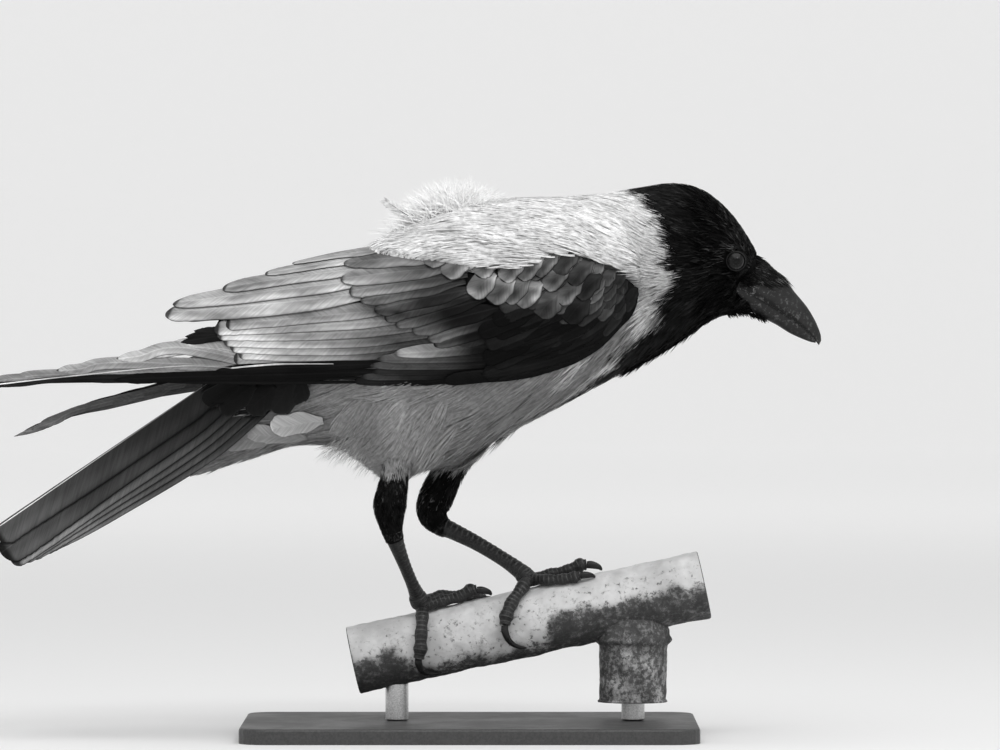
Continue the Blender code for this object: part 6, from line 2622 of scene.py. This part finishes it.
RIGHT_LEG = Leg(
    "right",
    (
        ((-33.0, -17.0, 162.0), 7.5), ((-36.0, -26.0, 149.0), 9.0), ((-38.5, -33.5, 135.7), 7.4),
        ((-41.0, -36.5, 122.0), 8.6),
        ((-40.8, -37.3, 114.0), 7.0), ((-39.8, -37.0, 107.5), 5.2), ((-37.6, -34.0, 100.5), 4.1),
        ((-34.2, -27.5, 91.0), 3.3), ((-30.2, -18.0, 80.6), 3.2), ((-27.8, -12.0, 74.6), 3.9),
        ((-26.4, -9.4, 70.8), 4.6),
    ),
    {
        1: ((-16.2, 20.0, 4.3, 3.3), (-16.6, 45.0, 4.2, 3.3), (-19.0, 72.0, 3.9, 3.2),
            (-21.0, 92.0, 3.9, 3.5), (-23.0, 105.0, 4.0, 2.6)),
        2: ((-15.4, 16.0, 4.2, 3.2), (-10.0, -12.0, 5.0, 3.0), (-6.0, -38.0, 3.6, 2.7),
            (-4.0, -60.0, 3.2, 2.6), (-3.6, -71.0, 3.3, 2.1)),
        3: ((-14.9, 17.0, 4.2, 3.3), (-5.5, 0.0, 5.4, 3.1), (4.0, -18.0, 3.9, 2.9),
            (12.0, -32.0, 3.5, 2.9), (17.0, -41.0, 3.7, 2.2)),
        4: ((-14.9, 20.0, 4.2, 3.3), (-4.5, 15.0, 3.8, 3.0), (4.0, 13.0, 4.0, 3.1),
            (10.5, 12.0, 5.6, 3.6), (13.8, 12.0, 5.2, 2.7)),
    },
    {
        1: ((-23.5, 112.0, 3.9, 2.3), (-22.4, 127.0, 3.1, 1.8), (-18.0, 139.0, 2.0, 1.2),
            (-12.8, 147.0, 1.0, 0.55)),
        2: ((-3.4, -78.0, 3.6, 1.9), (-3.2, -92.0, 3.0, 1.3), (-3.0, -104.0, 1.2, 0.5)),
        3: ((20.0, -47.0, 3.9, 2.0), (25.0, -56.0, 3.2, 1.4), (27.5, -62.0, 1.1, 0.5)),
        4: ((16.4, 12.0, 4.6, 2.0), (19.6, 12.0, 2.9, 1.4), (20.8, 12.0, 0.9, 0.5)),
    },
    seed=5,
)
LEFT_LEG = Leg(
    "left",
    (
        ((-1.0, 10.0, 163.0), 8.0), ((-5.0, 17.5, 150.0), 10.0), ((-11.0, 21.5, 137.8), 8.8),
        ((-18.2, 23.5, 122.6), 9.2),
        ((-19.5, 24.0, 114.5), 8.0), ((-15.4, 23.6, 108.6), 5.4), ((-9.5, 22.0, 105.9), 4.5),
        ((4.0, 16.0, 99.3), 3.9), ((17.5, 8.5, 91.4), 3.8), ((25.5, 3.0, 85.9), 4.3),
        ((29.0, 0.6, 82.8), 4.7),
    ),
    {
        1: ((41.7, 0.5, 3.9, 3.3), (37.6, 28.0, 4.2, 3.3), (30.0, 55.0, 3.8, 3.3),
            (26.0, 73.0, 3.8, 3.6), (24.2, 84.5, 4.0, 2.7)),
        2: ((43.2, 3.0, 3.7, 3.1), (51.0, 20.0, 3.5, 2.9), (59.0, 27.0, 3.3, 2.8),
            (65.0, 29.0, 3.6, 3.0), (68.0, 29.5, 3.7, 2.2)),
        3: ((43.0, 0.0, 4.0, 3.3), (53.0, -2.0, 4.4, 3.1), (62.0, -2.0, 4.6, 3.0),
            (69.0, -1.0, 5.8, 3.6), (72.4, -1.0, 5.4, 2.7)),
        4: ((43.2, -3.0, 3.6, 3.0), (49.5, -22.0, 5.0, 3.0), (56.5, -42.0, 3.6, 2.8),
            (61.5, -58.0, 3.3, 2.8), (64.0, -67.0, 3.5, 2.2)),
    },
    {
        1: ((23.7, 94.0, 3.9, 2.3), (25.0, 109.0, 3.0, 1.8), (28.4, 122.0, 1.9, 1.2),
            (33.0, 131.0, 1.0, 0.55)),
        2: ((70.4, 29.5, 3.6, 1.9), (73.6, 30.0, 2.6, 1.3), (75.4, 30.0, 0.9, 0.5)),
        3: ((75.0, -1.0, 4.8, 2.0), (78.2, -1.0, 3.0, 1.4), (79.6, -1.0, 0.9, 0.5)),
        4: ((66.2, -74.0, 3.6, 1.9), (69.0, -87.0, 2.9, 1.3), (70.6, -98.0, 1.2, 0.5)),
    },
    seed=6,
)


# ---- perch and stand ---------------------------------------------------------------------------------

@dataclass
class Perch:
    """The cut length of handrail with its post, thick with old paint."""

    rail: RailLine = field(default_factory=RailLine)
    ends: tuple[float, float] = (-57.0, 130.0)
    rim: float = 2.6
    recess: float = 1.5
    post_x: float = 84.8
    post_radius: float = 17.5
    post_foot: float = 19.0
    weld: float = 2.0
    sides: int = 128

    def crust(self, points: Array) -> Array:
        """The lumps of paint and rust, in millimetres: three sizes of ripples."""
        return (0.22 * ripple(points, 21.0, 31) + 0.13 * ripple(points, 8.0, 32, 18)
            + 0.07 * ripple(points, 3.4, 33, 24))

    def build(self) -> None:
        """The rail and its post as one piece."""
        piece = Piece()
        degrees = np.arange(self.sides) * 360 / self.sides
        self.add_rail(piece, degrees)
        self.add_post(piece, degrees)
        piece.finish("rail_and_post", RAIL_PAINT.material(), "painted_rail", "perch_rail", sharp=50)

    def add_rail(self, piece: Piece, degrees: Array) -> None:
        """The rail: a profile turned about its axis, open a little way at both ends, and crusted.

        Args:
            piece: What they are added to.
            degrees: Turns round the axis, one a side.
        """
        first, last = self.ends
        r, inner = self.rail.radius, self.rail.radius - self.rim
        body = np.linspace(first + 0.6, last - 0.6, 230)
        along = np.concatenate([[first + self.recess] * 3, [first + 0.3, first, first, first + 0.15], body,
            [last - 0.15, last, last, last - 0.3], [last - self.recess] * 3])
        radius = np.concatenate([[0.01, inner * 0.5, inner - 0.1], [inner, inner + 0.3, r - 0.6, r - 0.15],
            np.full(len(body), r), [r - 0.15, r - 0.6, inner + 0.3, inner],
            [inner - 0.1, inner * 0.5, 0.01]])
        a, d = np.meshgrid(along, degrees, indexing="ij")
        points, out = self.rail.on(a, d, radius[:, None] - r + 0 * a)
        on_side = (radius > r - 0.1)[:, None]
        points = points + out * (self.crust(points) * on_side)[..., None]
        kept = ease(-38.0, -20.0, a) * ease(54.0, 36.0, a + 6.0 * out[..., 2])
        level = out[..., 2] + 0.68 * kept + 0.13 * ripple(points, 14.0, 35)
        pitted = 0.34 * ease(0.92, 0.6, out[..., 2])
        # the value rises towards the underside, less so in the middle stretch: more rust there, and painted
        # shade
        under = np.maximum(ease(0.75, -0.45, level), pitted) * on_side + 0.9 * ~on_side
        piece.add(points, shell(*points.shape[:2]), under=under)

    def add_post(self, piece: Piece, degrees: Array) -> None:
        """The post's stub: a profile turned about the upright, with a bead of weld under the rail.

        Args:
            piece: What they are added to.
            degrees: Turns round the axis, one a side.
        """
        joint = self.rail.point[1] + (self.post_x - self.rail.point[0]) * math.tan(self.rail.slope)
        below = joint - self.rail.radius
        profile = np.array([(self.post_foot, 0.01), (self.post_foot, self.post_radius - 0.8),
            (self.post_foot + 0.8, self.post_radius), (below - 8.5, self.post_radius),
            (below - 6.0, self.post_radius + 0.5), (below - 3.5, self.post_radius + self.weld),
            (below - 0.5, self.post_radius + self.weld * 0.8), (below + 3.0, self.post_radius + 1.0),
            (below + 8.0, self.post_radius - 3.0), (below + 9.0, 0.01)])
        z, radius = np.concatenate([through(profile[:4], np.linspace(0, 3, 60)),
            through(profile[3:], np.linspace(0.02, 6, 60))]).T
        angle = np.radians(degrees)
        spokes = pack(np.cos(angle), np.sin(angle), 0.0)
        points = np.array([self.post_x, 0, 0]) + radius[:, None, None] * spokes + z[:, None, None] * (0, 0, 1)
        bead = 0.5 * hump(z, below - 3.0, 3.0)[:, None] * ripple(points, 9.0, 37)
        side = ease(self.post_radius - 4, self.post_radius - 1, radius)[:, None]
        points = points + spokes * ((self.crust(points) + bead) * side)[..., None]
        # high all down the post and higher just under the rail, where it is the rail's painted shadow
        under = 0.74 + 0.2 * ease(below - 14.0, below, z)[:, None] + 0.10 * ripple(points, 18.0, 38)
        piece.add(points, shell(*points.shape[:2]), under=under)


@dataclass
class Stand:
    """The board and the two rods that carry the rail."""

    rods: tuple[str, ...] = ("front", "rear")
    chamfer: float = 0.5
    sides: int = 72

    def build(self) -> None:
        """Turned rods with chamfered ends. The board's own shape is right, so it is only dressed."""
        for name in self.rods:
            node = f"stand_rod_{name}"
            low, high = (np.array(corner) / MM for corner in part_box(node))
            middle = (low + high) / 2
            radius = (high[1] - low[1]) / 2
            z = np.array([low[2], low[2], low[2] + self.chamfer, *np.linspace(low[2] + 1, high[2] - 1, 12),
                high[2] - self.chamfer, high[2]])
            r = np.array([0.01, radius - self.chamfer, radius, *np.full(12, radius), radius,
                radius - self.chamfer])
            angle = turns(self.sides)
            points = pack(middle[0] + r[:, None] * np.cos(angle), middle[1] + r[:, None] * np.sin(angle),
                z[:, None])
            piece = Piece()
            piece.add(points, shell(*points.shape[:2]))
            piece.finish(f"rod_{name}", STEEL.material(), "stand_steel", node, sharp=40)
        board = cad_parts["stand_base"]
        for place in board.material_slots:
            place.material = BOARD.material()
        log.info("stand_base: dressed")


# ---- studio ------------------------------------------------------------------------------------------

@dataclass
class Studio:
    """A plain pale sweep, soft light from above and the camera. Sizes are in metres."""

    aim: tuple[float, float, float] = (0.0156, 0.0, 0.1877)
    distance: float = 3.5
    rise: float = math.radians(0.6)
    field_width: float = 0.52
    sensor: float = 36.0
    floor_radius: float = 7.0
    curve: float = 2.0
    wall: float = 4.2
    sky: float = 0.50
    key_watts: float = 62.0
    key_size: float = 3.0
    glint_watts: float = 11.0

    def build(self) -> None:
        """The sweep, the lights and the camera."""
        self.build_sweep()
        self.build_lights()
        self.build_camera()

    def build_sweep(self) -> None:
        """A round floor that curves up into a wall: a profile turned about the vertical."""
        bend = np.linspace(0, np.pi / 2, 24)
        radius = np.concatenate([[0.001, 0.5, 2.0, 4.0], self.floor_radius + self.curve * np.sin(bend),
            [self.floor_radius + self.curve]])
        height = np.concatenate([[0.0] * 4, self.curve * (1 - np.cos(bend)), [self.wall]])
        angle = turns(96)
        points = pack(radius[:, None] * np.cos(angle), radius[:, None] * np.sin(angle), height[:, None])
        rows, columns = points.shape[:2]
        faces = shell(rows, columns, caps=False)[0]
        mesh = bpy.data.meshes.new("sweep")
        mesh.from_pydata(points.reshape(-1, 3).tolist(), [], faces[:, ::-1].tolist())
        mesh.shade_smooth()
        mesh.materials.append(STUDIO.material())
        add_object("sweep", mesh)

    def build_lights(self) -> None:
        """An even sky and one large soft light overhead, a little behind the bird."""
        bpy.context.scene.view_settings.view_transform = "Standard"
        world = bpy.data.worlds.new("sky")
        world.use_nodes = True
        world.node_tree.nodes["Background"].inputs["Color"].default_value = (1, 1, 1, 1)
        world.node_tree.nodes["Background"].inputs["Strength"].default_value = self.sky
        bpy.context.scene.world = world
        for name, place, watts, size in (("key", (0.2, -0.7, 2.4), self.key_watts, self.key_size),
                ("glint", (1.0, -2.2, 2.4), self.glint_watts, 0.5)):
            lamp = bpy.data.lights.new(name, "AREA")
            lamp.energy, lamp.size = watts, size
            thing = add_object(name, lamp)
            thing.location = place
            aim = mathutils.Vector(place) - mathutils.Vector(self.aim)
            thing.rotation_euler = aim.to_track_quat("Z", "Y").to_euler()

    def build_camera(self) -> None:
        """A long lens, level with the bird and square to its side."""
        lens = bpy.data.cameras.new("camera")
        lens.sensor_width = self.sensor
        lens.lens = self.sensor * self.distance / self.field_width
        lens.clip_end = 60.0
        camera = add_object("camera", lens)
        camera.location = (self.aim[0], self.aim[1] - self.distance * math.cos(self.rise),
            self.aim[2] + self.distance * math.sin(self.rise))
        camera.rotation_euler = (math.pi / 2 - self.rise, 0.0, 0.0)
        bpy.context.scene.camera = camera


LEFT_DROP = ((-400.0, 27.0), (-237.0, 27.0), (-225.0, 23.5), (-204.4, 17.5), (-182.5, 11.0), (-165.0, 6.5),
    (-150.0, 3.0), (-138.3, 1.0), (-121.0, 0.0), (400.0, 0.0))
LEFT_TIPS = (-143.0, -152.0, -163.0, -230.0, -234.0, -237.0, -239.0)
LEFT_OUTLINE = (
    (-239.0, 155.8), (-225.0, 161.7), (-204.4, 171.1), (-182.5, 181.1), (-165.0, 189.8), (-150.0, 196.8),
    (-138.3, 200.8), (-128.0, 201.6), (-112.0, 202.0), (0.0, 205.0),
)
LEFT_UNDERLINE = (
    (-239.0, 155.0), (-225.0, 159.5), (-204.4, 167.2), (-182.5, 175.1), (-165.0, 178.3), (-150.0, 180.9),
    (-138.3, 182.6), (-112.0, 182.4), (-62.0, 180.0), (0.0, 180.0),
)


def main() -> None:
    """Builds the studio, the bird, the perch and the stand, in that order."""
    logging.basicConfig(level=logging.INFO, format="%(message)s")
    Studio().build()
    body = Body()
    legs = [RIGHT_LEG, LEFT_LEG]
    body.build_skin(legs)
    body.build_coat()
    body.build_undertail()
    Wing("right").build()
    Wing("left", WingRoof(drop=LEFT_DROP), LEFT_TIPS, closing=30.0, taper=1.2, point=0.9, slim=0.62,
        under_tone=0.3, seed=4, outline=LEFT_OUTLINE, underline=LEFT_UNDERLINE).build()
    Tail().build()
    bill = Bill()
    bill.build()
    bill.build_bristles(body.markings)
    for side in ("right", "left"):
        Eye(side).build()
    for leg in legs:
        leg.build_thigh(body.markings)
        leg.build_foot()
        leg.build_claws()
    Perch().build()
    Stand().build()


if __name__ == "__main__":
    main()
